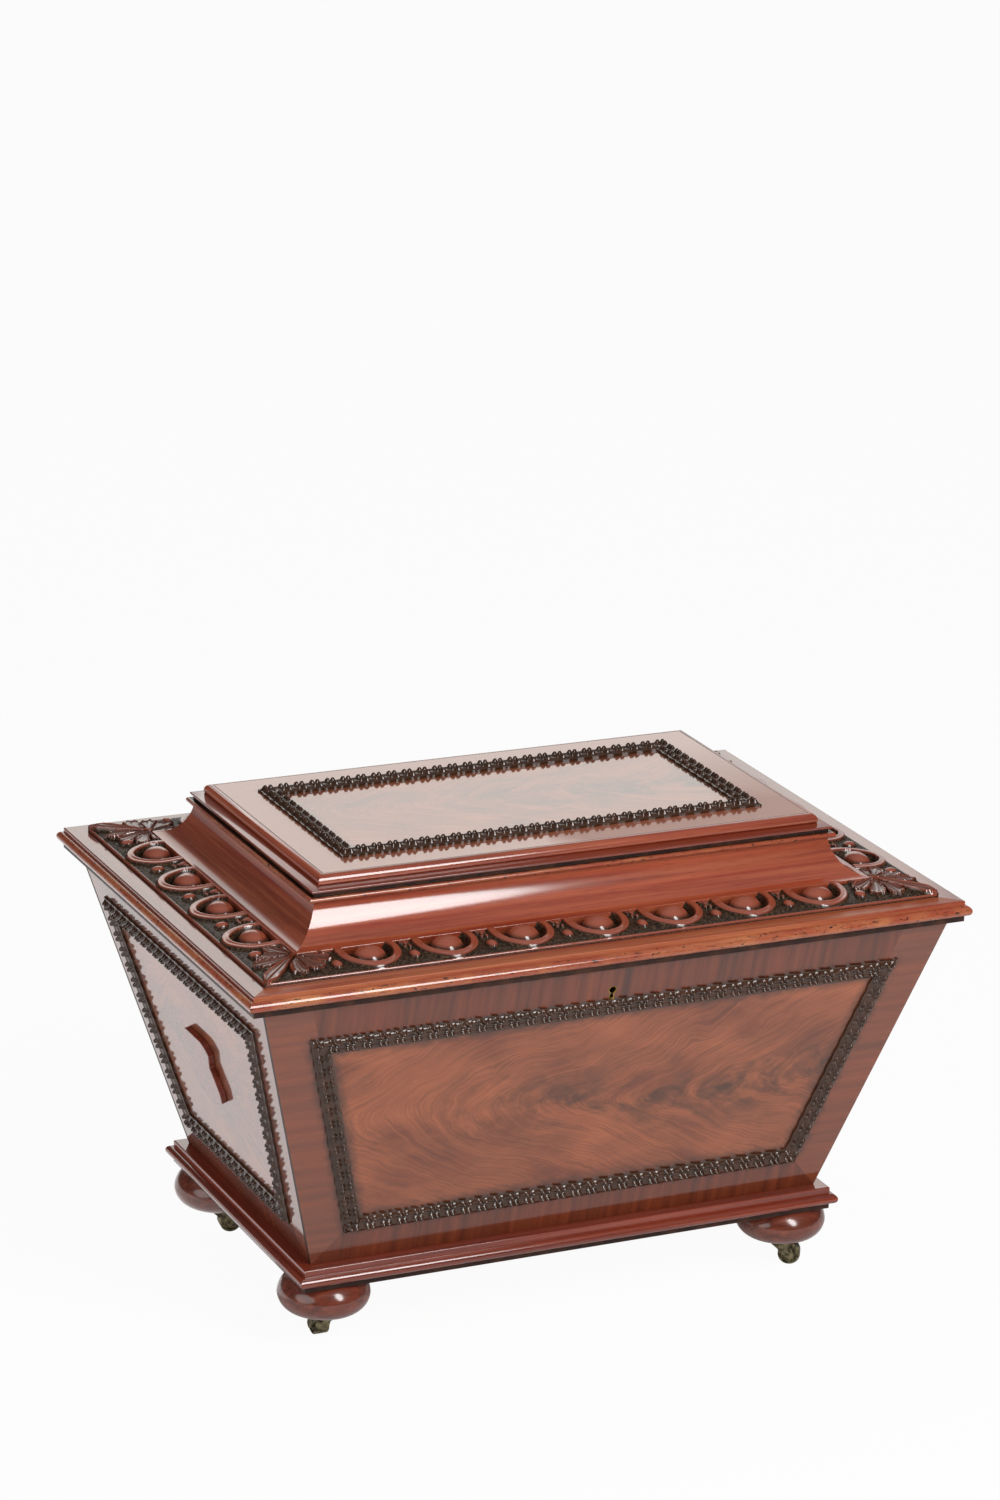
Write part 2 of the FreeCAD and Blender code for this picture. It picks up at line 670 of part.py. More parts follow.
def bun_foot(label, sx, sy):
    """Turned bun with a spigot, bored from below for the castor socket."""
    body = new_body(label)
    sketch = new_sketch(body, "XZ_Plane")
    tall, hole = sz.foot_tall, sz.socket_rad + sz.glue_fit
    deep = sz.socket_long + sz.socket_room
    sharp = tall + sz.spigot_long
    outline(sketch, [(hole, as_size(0)), (sz.foot_low_rad, as_size(0)), (sz.foot_rad, tall / 2),
                     (sz.foot_top_rad, tall), (sz.spigot_rad, tall), (sz.spigot_rad, sharp),
                     (as_size(0), sharp), (as_size(0), deep), (hole, deep)],
            {1: ("y", tall / 2 + sz.foot_turn, 1), 2: ("y", tall / 2 - sz.foot_turn, 1)})
    spun(body, sketch)
    place(body, sx * (foot_x - sz.foot_in), sy * (foot_y - sz.foot_in), sz.castor_tall)
    return body


def castor_plate(label, sx, sy):
    """Round brass plate under a foot with the socket that the stem turns in."""
    body = new_body(label)
    sketch = new_sketch(body, "XZ_Plane")
    bore, plate = sz.stem_rad + sz.spin_fit, sz.plate_thick
    outline(sketch, [(bore, -plate), (sz.plate_rad, -plate), (sz.plate_rad, as_size(0)),
                     (sz.socket_rad, as_size(0)), (sz.socket_rad, sz.socket_long),
                     (as_size(0), sz.socket_long),
                     (as_size(0), sz.socket_long - sz.socket_end),
                     (bore, sz.socket_long - sz.socket_end)])
    spun(body, sketch)
    place(body, sx * (foot_x - sz.foot_in), sy * (foot_y - sz.foot_in), sz.castor_tall)
    return body


def castor_horn(label, sx, sy, heading):
    """Crown with its stem, two arms that trail back to the axle, and the axle."""
    body = new_body(label)
    top = sz.castor_tall - sz.plate_thick - sz.castor_gap
    under = top - sz.crown_thick
    inner = sz.wheel_wide / 2 + sz.castor_gap
    outer = inner + sz.arm_thick
    edge = sz.crown_rad - sz.crown_edge
    crown = new_sketch(body, "XZ_Plane")
    outline(crown, [(as_size(0), under), (sz.crown_rad, under),
                    (sz.crown_rad, top - sz.crown_edge), (edge, top), (sz.stem_rad, top),
                    (sz.stem_rad, sz.castor_tall + sz.stem_long),
                    (as_size(0), sz.castor_tall + sz.stem_long)])
    spun(body, crown)
    arms = new_sketch(body, "YZ_Plane")
    axle_z, back, end = sz.wheel_rad, sz.trail, sz.arm_end_rad
    outline(arms, [(-edge, top - sz.crown_edge), (-edge, under), (back - end, axle_z),
                   (back + end, axle_z), (edge, top - sz.crown_edge)], {2: ("y", axle_z, 1)})
    pad(body, arms, 2 * outer, "Symmetric")
    slot = new_sketch(body, "YZ_Plane")
    far = back + end + sz.crown_rad + SPARE
    box(slot, -far, far, -SPARE, under)
    pocket(body, slot, 2 * inner, "Symmetric")
    axle = new_sketch(body, "YZ_Plane")
    ring(axle, back, axle_z, sz.axle_rad)
    pad(body, axle, 2 * outer, "Symmetric")
    place_spin(body, sx * (foot_x - sz.foot_in), sy * (foot_y - sz.foot_in), as_size(0), heading)
    return body


def castor_wheel(label, sx, sy, heading):
    """Brass wheel with a rounded tread and a dished side, bored for the axle."""
    body = new_body(label)
    half, rad, bore = sz.wheel_wide / 2, sz.wheel_rad, sz.axle_rad + sz.spin_fit
    wheel = new_sketch(body, "YZ_Plane")
    ring(wheel, sz.trail, rad, rad)
    base = pad(body, wheel, sz.wheel_wide, "Symmetric")
    rounded(body, base, sz.dish, lambda edge: len(edge.Vertexes) == 1)
    for way in (False, True):
        dish = new_sketch(body, "YZ_Plane", -half if way else half)
        ring(dish, sz.trail, rad, rad - sz.tread)
        ring(dish, sz.trail, rad, sz.hub_rad)
        pocket(body, dish, sz.dish, back=way)
    hole = new_sketch(body, "YZ_Plane")
    ring(hole, sz.trail, rad, bore)
    through(body, hole)
    place_spin(body, sx * (foot_x - sz.foot_in), sy * (foot_y - sz.foot_in), as_size(0), heading)
    return body


# ---------------------------------------------------------------- lid

def lid_rails():
    """Moulded frame of the lid: fillet, bead, step and flat top."""
    low, high = sz.lid_fillet, sz.lid_fillet + sz.lid_bead
    nose = sz.lid_bead / 2
    step, back, zero = -(nose + sz.lid_ledge), -sz.rail_wide, as_size(0)
    section = [(back, zero), (step, zero), (step, low), (-nose, low), (-nose, high),
               (step, high), (step, rail_z), (back, rail_z)]
    fit = sz.glue_fit
    made = []
    for side, turn, half_long, half_deep in four_sides(lid_x, lid_y):
        body = mitred("lid_rail_" + side, turn, half_long, half_deep, section,
                      {3: ("x", -nose, 1)}, lid_z, nose)
        if side == "back":
            inner = top_y + sz.hinge_out - sz.leaf_wide - fit
            seat = new_sketch(body, "XY_Plane")
            hinge_box(seat, -1, inner, top_y + sz.hinge_out + sz.web + fit)
            pocket(body, seat, sz.leaf + sz.seam, back=True)
        if side == "front":
            seat = new_sketch(body, "XY_Plane")
            half, middle = sz.link_plate_wide / 2 + fit, lock_in - top_y
            box(seat, -(sz.lock_wide / 2 + fit), sz.lock_wide / 2 + fit,
                middle - half, middle + half)
            pocket(body, seat, sz.link_plate + sz.seam, back=True)
        made.append(body)
    return made


def border_section(raised):
    """Convex section of the border: upright lip, rounded edge, gentle rise to the crest."""
    wide, bulge = sz.carve_wide, sz.carve_round
    zero, crest = as_size(0), sz.carve_tall + raised
    return ([(-wide, zero), (zero, zero), (zero, sz.carve_lip + raised),
             (-bulge, sz.carve_round_tall + raised), (sz.carve_nose - wide, crest),
             (-wide, crest)],
            {2: ("x", -(bulge + sz.round_turn), 1),
             3: ("x", sz.carve_nose - wide - sz.crest_turn, 1)})


def carved_borders():
    """Convex border with a row of eggs, each in its open shell."""
    half_x, half_y = lid_x - sz.carve_in, lid_y - sz.carve_in
    level = lid_z + rail_z
    made = []
    for side, turn, half_long, half_deep in four_sides(half_x, half_y):
        lengths = []
        for name, raised in (("ground_", as_size(0)), ("raised_", sz.shell_tall)):
            section, arcs = border_section(raised)
            lengths.append(mitred(name + side, turn, half_long, half_deep, section, arcs,
                                  level))
        long_side = side in ("front", "back")
        count = sz.egg_count_long if long_side else sz.egg_count_short
        pitch = sz.egg_pitch_long if long_side else sz.egg_pitch_short
        places = [pitch * (i - (count.value - 1) / 2) for i in range(int(round(count.value)))]
        rings = new_body("rings_" + side)
        sketch = new_sketch(rings, "XY_Plane")
        for at in places:
            ring(sketch, at, sz.shell_in - half_deep, sz.shell_rad)
            ring(sketch, at, sz.shell_in - half_deep, sz.shell_rad - sz.shell_wide)
        pad(rings, sketch, sz.egg_tall * 2)
        place(rings, z=level, turn=turn)
        shells = combined("MultiCommon", "shells_" + side, [lengths[1], rings])
        eggs = [egg("egg_%s_%d" % (side, i), at, sz.egg_in - half_deep, level, turn)
                for i, at in enumerate(places)]
        made.append(combined("MultiFuse", "carving_" + side, [lengths[0], shells] + eggs))
    return made


def egg(label, x, y, z, turn):
    """Half-sunk ellipsoid."""
    item = doc.addObject("Part::Ellipsoid", label)
    for name, size in (("Radius1", sz.egg_tall / 2), ("Radius2", sz.egg_wide / 2),
                       ("Radius3", sz.egg_deep / 2)):
        setattr(item, name, size.value)
        item.setExpression(name, size.text)
    place(item, x, y, z + sz.egg_tall / 2, turn)
    return item


def cove_boards():
    """Hollow-faced boards between the border and the tablet."""
    zero, high = as_size(0), sz.cove_tall
    top_out = -sz.cove_run
    inner = cove_in - sz.rail_wide
    section = [(inner, zero), (zero, zero), (zero, sz.cove_foot), (top_out, high),
               (top_out - sz.cove_cap, high)]
    return [mitred("cove_" + side, turn, half_long, half_deep, section,
                   {2: ("y", high, -1)}, lid_z + rail_z)
            for side, turn, half_long, half_deep
            in four_sides(lid_x - cove_in, lid_y - cove_in)]


def slab(body, inset, low, tall):
    """Level rectangular board, inset from the lid edge."""
    sketch = new_sketch(body, "XY_Plane", low)
    half_x, half_y = lid_x - inset, lid_y - inset
    box(sketch, -half_x, half_x, -half_y, half_y)
    return pad(body, sketch, tall)


def tablet():
    """Board over the coves with a bead, a hollow and a fillet along its edge."""
    body = new_body("tablet")
    base = slab(body, tablet_in - sz.tablet_bead_out, as_size(0), sz.tablet_bead)
    rounded(body, base, sz.tablet_bead * 0.48,
            lambda edge: abs(edge.Vertexes[0].Z - edge.Vertexes[1].Z) < 1e-4)
    slab(body, tablet_in + sz.tablet_hollow_in, sz.tablet_bead, sz.tablet_hollow)
    slab(body, tablet_in, sz.tablet_bead + sz.tablet_hollow, sz.tablet_fillet)
    place(body, z=lid_z + cove_z)
    return body


def upper_board():
    """Round-edged board on the tablet, sunk for the top panel."""
    body = new_body("upper_board")
    base = slab(body, crown_in, as_size(0), sz.crown_tall)
    rounded(body, base, sz.crown_tall * 0.48,
            lambda edge: abs(edge.Vertexes[0].Z - edge.Vertexes[1].Z) < 1e-4)
    sunk = new_sketch(body, "XY_Plane", sz.crown_tall - sz.inlay_thick)
    half_x, half_y = lid_x - inlay_in + sz.inlay_gap, lid_y - inlay_in + sz.inlay_gap
    box(sunk, -half_x, half_x, -half_y, half_y)
    pocket(body, sunk, sz.inlay_thick + SPARE, back=True)
    place(body, z=lid_z + tablet_z)
    return body


def top_panel():
    body = new_body("top_panel")
    slab(body, inlay_in, as_size(0), sz.inlay_thick)
    place(body, z=lid_z + tablet_z + sz.crown_tall - sz.inlay_thick)
    return body


def top_ripple():
    """Rounded moulding frame on the top panel."""
    body = new_body("top_ripple_frame")
    sketch = new_sketch(body, "XY_Plane")
    for inset in (as_size(0), sz.ripple_wide):
        half_x = lid_x - inlay_in - sz.ripple_lid_in - inset
        half_y = lid_y - inlay_in - sz.ripple_lid_in - inset
        box(sketch, -half_x, half_x, -half_y, half_y)
    base = pad(body, sketch, sz.ripple_thick)
    thick = sz.ripple_thick.value
    rounded(body, base, sz.ripple_round,
            lambda edge: all(abs(v.Z - thick) < 1e-4 for v in edge.Vertexes))
    place(body, z=lid_z + tablet_z + sz.crown_tall)
    return body


# ---------------------------------------------------------------- hinges

def hinge_segments(sketch, own):
    """Lengths of the five knuckles that belong to the other leaf, with their gaps."""
    fifth, gap = sz.hinge_long / 5, sz.knuckle_gap / 2
    reach = sz.knuckle_rad + sz.knuckle_gap
    for i in range(5):
        if (i % 2 == 0) == (own == "lower"):
            continue
        x0 = fifth * (i - 2.5) - (gap if i > 0 else SPARE)
        x1 = fifth * (i - 1.5) + (gap if i < 4 else SPARE)
        box(sketch, x0, x1, -reach, reach + sz.web)


def lower_hinge(label, sx):
    """Leaf let into the case, three knuckles and the pin."""
    body = new_body(label)
    top = sz.hinge_drop - sz.seam
    leaf = new_sketch(body, "YZ_Plane")
    box(leaf, -sz.leaf_wide, 0, top - sz.leaf, top)
    pad(body, leaf, sz.hinge_long, "Symmetric")
    knuckle = new_sketch(body, "YZ_Plane")
    ring(knuckle, 0, 0, sz.knuckle_rad)
    pad(body, knuckle, sz.hinge_long, "Symmetric")
    gaps = new_sketch(body, "XY_Plane")
    hinge_segments(gaps, "lower")
    through(body, gaps)
    pin = new_sketch(body, "YZ_Plane")
    ring(pin, 0, 0, sz.pin_rad)
    pad(body, pin, sz.hinge_long, "Symmetric")
    place(body, sx * sz.hinge_at, top_y + sz.hinge_out, lid_z - sz.hinge_drop)
    return body


def upper_hinge(label, sx):
    """Leaf let into the lid with two bored knuckles under it."""
    body = new_body(label)
    low = sz.hinge_drop + sz.seam
    knuckle = new_sketch(body, "YZ_Plane")
    ring(knuckle, 0, 0, sz.knuckle_rad)
    pad(body, knuckle, sz.hinge_long, "Symmetric")
    web = new_sketch(body, "YZ_Plane")
    box(web, -sz.web, sz.web, 0, low + sz.leaf)
    pad(body, web, sz.hinge_long, "Symmetric")
    gaps = new_sketch(body, "XY_Plane")
    hinge_segments(gaps, "upper")
    through(body, gaps)
    bore = new_sketch(body, "YZ_Plane")
    ring(bore, 0, 0, sz.pin_rad + sz.spin_fit)
    through(body, bore)
    leaf = new_sketch(body, "YZ_Plane")
    box(leaf, -sz.leaf_wide, sz.web, low, low + sz.leaf)
    pad(body, leaf, sz.hinge_long, "Symmetric")
    place(body, sx * sz.hinge_at, top_y + sz.hinge_out, lid_z - sz.hinge_drop)
    return body


# ---------------------------------------------------------------- lock

def key_lining():
    """Brass thread set in the keyhole."""
    body = new_body("keyhole_lining")
    sketch = new_sketch(body, "XY_Plane")
    keyhole(sketch, sz.key_rim)
    keyhole(sketch, as_size(0))
    pad(body, sketch, sz.key_lining, back=True)
    on_slope(body, 0, foot_y)
    return body


def lock_case():
    """Box of the lock with a hollow for the bolt, its runners and slots for the links."""
    body = new_body("lock_case")
    half, wall, inside = sz.lock_wide / 2, sz.lock_wall, sz.lock_thick / 2 - sz.lock_wall
    sketch = new_sketch(body, "XZ_Plane")
    box(sketch, -half, half, -sz.lock_tall, -sz.seam)
    pad(body, sketch, sz.lock_thick, "Symmetric")
    hollow = new_sketch(body, "XZ_Plane")
    box(hollow, wall - half, half - wall, wall - sz.lock_tall, -(sz.seam + wall))
    pocket(body, hollow, 2 * inside, "Symmetric")
    slots = new_sketch(body, "XY_Plane", -sz.lock_tall / 2)
    for way in (-1, 1):
        middle, reach = way * sz.link_at, sz.link_thick / 2 + sz.link_room
        box(slots, middle - reach, middle + reach, -inside, inside)
    pocket(body, slots, sz.lock_tall, back=True)
    key = new_sketch(body, "XZ_Plane", inside)
    ring(key, 0, -(sz.key_down * sz.case_tall / slope), sz.key_rad + sz.key_rim)
    pocket(body, key, wall + SPARE, back=True)
    runners = new_sketch(body, "XZ_Plane")
    for way in (-1, 1):
        middle, reach = way * sz.runner_at, sz.runner_wide / 2
        box(runners, middle - reach, middle + reach, wall / 2 - sz.lock_tall,
            bar_level() - sz.bolt_bar - sz.seam)
    pad(body, runners, sz.lock_thick - wall, "Symmetric")
    place(body, 0, lock_in - top_y, lid_z)
    return body


def tip_level():
    """Foot of the bolt tips, measured from the lid, in the holes of the links."""
    return sz.bolt_tip_high - sz.link_drop


def bar_level():
    """Top of the bolt bar, measured from the lid."""
    return -(sz.link_drop + sz.bolt_drop)


def lock_bolt():
    """Bar with two hooked tips that slide through the links."""
    body = new_body("lock_bolt")
    tip, head = tip_level(), tip_level() + sz.bolt_tip
    bar_top, bar_low = bar_level(), bar_level() - sz.bolt_bar
    right = sz.link_at - sz.link_thick / 2 - sz.bolt_clear
    left = -sz.link_at - sz.link_thick / 2 - sz.bolt_clear
    back_right, back_left = right - sz.bolt_reach, left - sz.bolt_reach
    sketch = new_sketch(body, "XZ_Plane")
    outline(sketch, [(back_left, bar_low), (right, bar_low), (right, bar_top),
                     (back_right + sz.bolt_neck, bar_top), (back_right + sz.bolt_neck, tip),
                     (right, tip), (right, head), (back_right, head), (back_right, bar_top),
                     (back_left + sz.bolt_neck, bar_top), (back_left + sz.bolt_neck, tip),
                     (left, tip), (left, head), (back_left, head)])
    pad(body, sketch, sz.bolt_thick, "Symmetric")
    place(body, 0, lock_in - top_y, lid_z)
    return body


def link_plate():
    """Plate let into the lid with two pierced links that drop into the lock."""
    body = new_body("link_plate")
    half = sz.lock_wide / 2
    plate = new_sketch(body, "XY_Plane", sz.seam)
    box(plate, -half, half, -sz.link_plate_wide / 2, sz.link_plate_wide / 2)
    pad(body, plate, sz.link_plate)
    links = new_sketch(body, "XY_Plane", -sz.link_drop)
    for way in (-1, 1):
        middle, reach = way * sz.link_at, sz.link_thick / 2
        box(links, middle - reach, middle + reach, -sz.link_wide / 2, sz.link_wide / 2)
    pad(body, links, sz.link_drop + sz.seam + sz.link_plate / 2)
    holes = new_sketch(body, "YZ_Plane")
    side = sz.bolt_thick / 2 + sz.link_play
    box(holes, -side, side, tip_level() - sz.link_play,
        tip_level() + sz.bolt_tip + sz.link_play)
    through(body, holes)
    place(body, 0, lock_in - top_y, lid_z)
    return body


# ---------------------------------------------------------------- assembly and files

CORNERS = [("front_left", -1, -1), ("front_right", 1, -1),
           ("back_left", -1, 1), ("back_right", 1, 1)]


def build():
    """Makes every piece and returns them."""
    pieces = case_boards() + [base_board()] + plinth_mouldings() + [zinc_lining()]
    rows = [-sz.row_wide / 2, sz.row_wide / 2]
    cells = [-sz.cell_pitch, as_size(0), as_size(0) + sz.cell_pitch]
    pieces.append(divisions("long_divisions", "XZ_Plane", foot_x, rows, cells, False))
    pieces.append(divisions("cross_divisions", "YZ_Plane", foot_y, cells, rows, True))
    for side, turn, half_long, half_deep in four_sides(foot_x, foot_y):
        pieces.append(ripple_frame(side + "_ripple_frame", turn, half_long, half_deep))
    pieces += [shield("right_shield", 90), shield("left_shield", 270)]
    for corner, sx, sy in CORNERS:
        heading = getattr(sz, "castor_" + corner)
        pieces += [bun_foot("foot_" + corner, sx, sy),
                   castor_plate("castor_plate_" + corner, sx, sy),
                   castor_horn("castor_horn_" + corner, sx, sy, heading),
                   castor_wheel("castor_wheel_" + corner, sx, sy, heading)]
    pieces += lid_rails() + carved_borders() + cove_boards()
    pieces += [tablet(), upper_board(), top_panel(), top_ripple()]
    for side, sx in (("left", -1), ("right", 1)):
        pieces += [lower_hinge("hinge_lower_" + side, sx), upper_hinge("hinge_upper_" + side, sx)]
    pieces += [key_lining(), lock_case(), lock_bolt(), link_plate()]
    return pieces


pieces = build()
doc.recompute()

faults = []
for item in doc.Objects:
    if any(word in item.State for word in ("Invalid", "Error")):
        faults.append("%s: %s" % (item.Name, item.State))
for piece in pieces:
    if piece.Shape.isNull() or not piece.Shape.isValid() or not piece.Shape.Solids:
        faults.append(piece.Label + ": no valid solid")
if faults:
    raise RuntimeError("; ".join(faults))

os.makedirs("parts", exist_ok=True)
for piece in pieces:
    piece.Shape.exportStep("parts/" + piece.Label + ".step")
print("%d pieces written" % len(pieces))
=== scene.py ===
import math

import bmesh
import bpy
import numpy as np
from mathutils import Matrix, Vector


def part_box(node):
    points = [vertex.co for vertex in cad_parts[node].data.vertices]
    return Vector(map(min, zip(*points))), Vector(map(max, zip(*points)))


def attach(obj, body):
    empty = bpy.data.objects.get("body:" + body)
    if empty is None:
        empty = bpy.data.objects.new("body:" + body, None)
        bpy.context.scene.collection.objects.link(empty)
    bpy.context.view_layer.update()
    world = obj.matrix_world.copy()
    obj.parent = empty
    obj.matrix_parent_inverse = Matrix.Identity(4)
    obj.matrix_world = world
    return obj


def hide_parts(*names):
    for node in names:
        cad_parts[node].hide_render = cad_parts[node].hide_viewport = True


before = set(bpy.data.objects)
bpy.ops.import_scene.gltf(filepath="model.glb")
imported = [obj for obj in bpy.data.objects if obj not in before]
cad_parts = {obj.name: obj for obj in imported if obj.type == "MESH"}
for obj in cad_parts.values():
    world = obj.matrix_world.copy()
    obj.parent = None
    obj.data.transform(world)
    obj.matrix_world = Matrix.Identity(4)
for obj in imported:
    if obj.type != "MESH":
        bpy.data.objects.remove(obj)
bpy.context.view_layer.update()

bl_info = {
    "name": "Sarcophagus Cellarette",
    "version": (1, 0, 0),
    "blender": (4, 5, 0),
    "location": "3D View > Sidebar > Cellarette",
    "description": "Finishes a mahogany cellarette around its construction",
    "category": "Object",
}

# Lengths are in metres.  +Z is up and the keyhole side faces -Y.
MM = 0.001
SIDES = {"front": 0, "right": 90, "back": 180, "left": 270}
LONG_SIDES = ("front", "back")
# points closer than WELD are one point; NEAR tells points on a plane or a level from others
WELD, NEAR = 1e-6, 1e-5
NOISE, RANGE, BLEND = "ShaderNodeTexNoise", "ShaderNodeMapRange", "ShaderNodeMix.RGBA"


# ---- colours and properties

def linear(code):
    """An sRGB hex colour as linear red, green and blue."""
    parts = [int(code[i:i + 2], 16) / 255 for i in (1, 3, 5)]
    return tuple(c / 12.92 if c <= 0.04045 else ((c + 0.055) / 1.055) ** 2.4 for c in parts)


def number(name, note, value, unit="NONE"):
    """Property that holds a number."""
    return bpy.props.FloatProperty(name=name, description=note, default=value, unit=unit,
                                   precision=5)


def length(name, note, millimetres):
    """Property that holds a length, given in mm."""
    return number(name, note, millimetres * MM, "LENGTH")


def colour(name, note, code):
    """Property that holds a colour, given as sRGB hex."""
    return bpy.props.FloatVectorProperty(name=name, description=note, size=3,
                                         subtype="COLOR", default=linear(code))


class CellaretteWood(bpy.types.PropertyGroup):
    """Colours of the polished woods."""
    figure: colour("Figure", "Main colour of the crotch veneer", "#70351f")
    figure_pale: colour("Pale figure", "Light feathers of the crotch veneer", "#b0613b")
    figure_dark: colour("Dark figure", "Dark plumes of the crotch veneer", "#472819")
    band: colour("Crossband", "Main colour of the crossbanding", "#672b15")
    band_pale: colour("Pale crossband", "Light streaks of the crossbanding", "#8e4426")
    band_dark: colour("Dark crossband", "Dark streaks of the crossbanding", "#432016")
    moulding: colour("Moulding", "Main colour of the solid mouldings", "#822b17")
    moulding_pale: colour("Moulding streaks", "Bright streaks of the mouldings", "#99442a")
    moulding_dark: colour("Moulding shade", "Dark streaks of the mouldings", "#4c1b10")
    carving: colour("Carving", "Polished parts of the carving", "#673020")
    # paler high parts of the carving: rubbed wood with painted highlight on the rims and egg tops
    carving_pale: colour("Rubbed carving", "Highest parts of the carving", "#974a33")
    cove: colour("Cove", "Main colour of the hollow boards", "#a33e26")
    cove_pale: colour("Pale cove", "Bright streaks of the hollow boards", "#c26a46")
    cove_dark: colour("Dark cove", "Dark streaks of the hollow boards", "#682213")
    wear: colour("Worn edge", "Wood rubbed bare along the beads", "#c47a4c")
    # near-black of old wax, used also for the painted shade beside the ripple frames and in the
    # carved ground
    wax_and_shade: colour("Grime", "Wax and dirt in the hollows", "#241911")


class CellaretteCarving(bpy.types.PropertyGroup):
    """Sizes of the carved border."""
    step: length("Step", "Distance between points of the carved surface", 0.75)
    egg_wide: length("Egg width", "Width of an egg along the border", 34)
    egg_deep: length("Egg depth", "Width of an egg across the border", 29)
    shell_wide: length("Shell width", "Width of a shell along the border", 65)
    band: length("Shell band", "Width of the raised band of a shell", 9.5)
    relief: length("Relief", "Height of the ornament over its ground", 3.9)
    egg_pitch: length("Egg pitch", "Distance between eggs on the long sides", 78)
    egg_pitch_end: length("End egg pitch", "Distance between eggs on the short sides", 84)


class CellaretteRipple(bpy.types.PropertyGroup):
    """Sizes of the ripple mouldings."""
    width: length("Width", "Width of the moulding", 18.5)
    pitch: length("Pitch", "Distance between pairs of beads", 16.7)
    reed: length("Reed height", "Height of a bead over the moulding", 4.7)
    crown: length("Crown", "Height of the moulding in its middle", 3.0)
    rim: length("Rim", "Height of the moulding at its edges", 2.0)
    scallop: length("Scallop", "Depth of the waves along the edges", 0.9)
    step: length("Step", "Distance between points along the moulding", 0.7)


class CellaretteEdges(bpy.types.PropertyGroup):
    """Sizes of the mouldings of lid and plinth."""
    bead: length("Lid bead", "Height of the bead along the lid", 10.2)
    fillet: length("Lid fillet", "Height of the fillet under the lid bead", 6.0)
    plinth_bead: length("Plinth bead", "Height of the bead along the plinth", 10.2)
    plinth_fillet: length("Plinth fillet", "Height of the fillet under the bead", 5.8)
    cove_foot: length("Cove foot", "Height of the upright foot of the cove", 10.0)
    cove_lean: length("Cove lean", "How far the top of the hollow leans back", 5.0)
    cove_cap: length("Cove cap", "Width of a cove board along its top", 12.0)
    tablet_bead: length("Tablet bead", "Height of the bead under the tablet", 4.8)
    tablet_hollow: length("Tablet hollow", "Height of the hollow in the tablet edge", 3.6)
    hollow_in: length("Hollow depth", "Hollow behind the edge of the tablet", 2.6)
    bead_out: length("Bead reach", "Tablet bead beyond the edge over it", 3.2)
    recess: length("Recess", "Depth of the seat of the top panel", 3.0)
    ledge_fall: length("Ledge fall", "Fall of the tablet ledge towards its edge", 1.8)
    torus: length("Torus", "Radius of the round edge of the upper board", 6.5)
    arris: length("Arris", "Softening of the polished edges", 1.2)
    # width of the painted shade of a rounded corner: a dark strip along the corners of the end
    # boards
    stringing: length("Stringing", "Width of the dark line along the case corners", 5.0)


class CellaretteStage(bpy.types.PropertyGroup):
    """Camera and light."""
    lens: number("Lens", "Focal length for a 36 mm wide frame", 171.7, "CAMERA")
    daylight: number("Daylight", "Strength of the pale room", 0.32)
    key_light: number("Key light", "Power of the softbox", 44.5, "POWER")
    glow: number("Glow", "Power of the pale screen behind", 7.2, "POWER")
    paper_glow: number("Paper glow", "Power of the bright paper behind", 7.4, "POWER")
    fill_light: number("Fill light", "Power of the side softbox", 21.0, "POWER")


def settings(group):
    """The scene's settings of that group."""
    return getattr(bpy.context.scene, "cellarette_" + group)


def in_mm(group, *names):
    """Some lengths of a group of settings, in mm."""
    return [getattr(settings(group), name) / MM for name in names]


# ---- nodes

def feed(tree, value, socket):
    """Gives a socket a value, or a link from a socket or from a node's first live output."""
    if isinstance(value, bpy.types.Node):
        value = next(item for item in value.outputs if item.enabled)
    if isinstance(value, bpy.types.NodeSocket):
        tree.links.new(value, socket)
    elif socket.type == "RGBA" and len(value) == 3:
        socket.default_value = (*value, 1.0)
    else:
        socket.default_value = value


def add(tree, kind, *values, **named):
    """Adds a node: values fill its live inputs in turn, named are properties or Named_Inputs.

    A kind in capitals is the operation of a Math node, and BLEND mixes colours.
    """
    if kind.isupper():
        kind, named["operation"] = "ShaderNodeMath", kind
    elif kind == BLEND:
        kind, named["data_type"] = BLEND.split(".")
    node = tree.nodes.new(kind)
    # properties come first, as some change which inputs there are
    for name in sorted(named, key=lambda name: name[0].isupper()):
        if name[0].islower():
            setattr(node, name, named[name])
        else:
            feed(tree, named[name], node.inputs[name.replace("_", " ")])
    live = [item for item in node.inputs if item.enabled]
    for value, socket in zip(values, live):
        feed(tree, value, socket)
    return node


# ---- materials

def blank(name):
    """New material with its node tree and its surface shader."""
    material = bpy.data.materials.new(name)
    material.use_nodes = True
    return material, material.node_tree, material.node_tree.nodes["Principled BSDF"]


def set_inputs(node, **values):
    """Sets inputs that are the same all over, their names written with _ for a space."""
    for name, value in values.items():
        node.inputs[name.replace("_", " ")].default_value = value


def polished(surface, gloss=0.07, depth=1.66, coat=1.0):
    """Shellac rubbed to a glassy coat over the wood."""
    set_inputs(surface, Roughness=0.45, Specular_IOR_Level=0.1, Coat_Weight=coat,
               Coat_Roughness=gloss, Coat_IOR=depth)


def grain(tree, place, rates, low, high, detail=3.0, bend=0.0):
    """Noise between 0 and 1, drawn out by its rates in cycles per metre."""
    drawn = add(tree, "ShaderNodeMapping", place, Scale=rates)
    noise = add(tree, NOISE, drawn, Scale=1.0, Detail=detail, Roughness=0.55, Distortion=bend)
    return add(tree, RANGE, noise, low, high)


def overlaid(tree, tone, *layers):
    """Lays colours over a tone; a layer is where it shows, how strongly, and its colour."""
    for where, strength, shade in layers:
        tone = add(tree, BLEND, add(tree, "MULTIPLY", where, strength), tone, shade)
    return tone


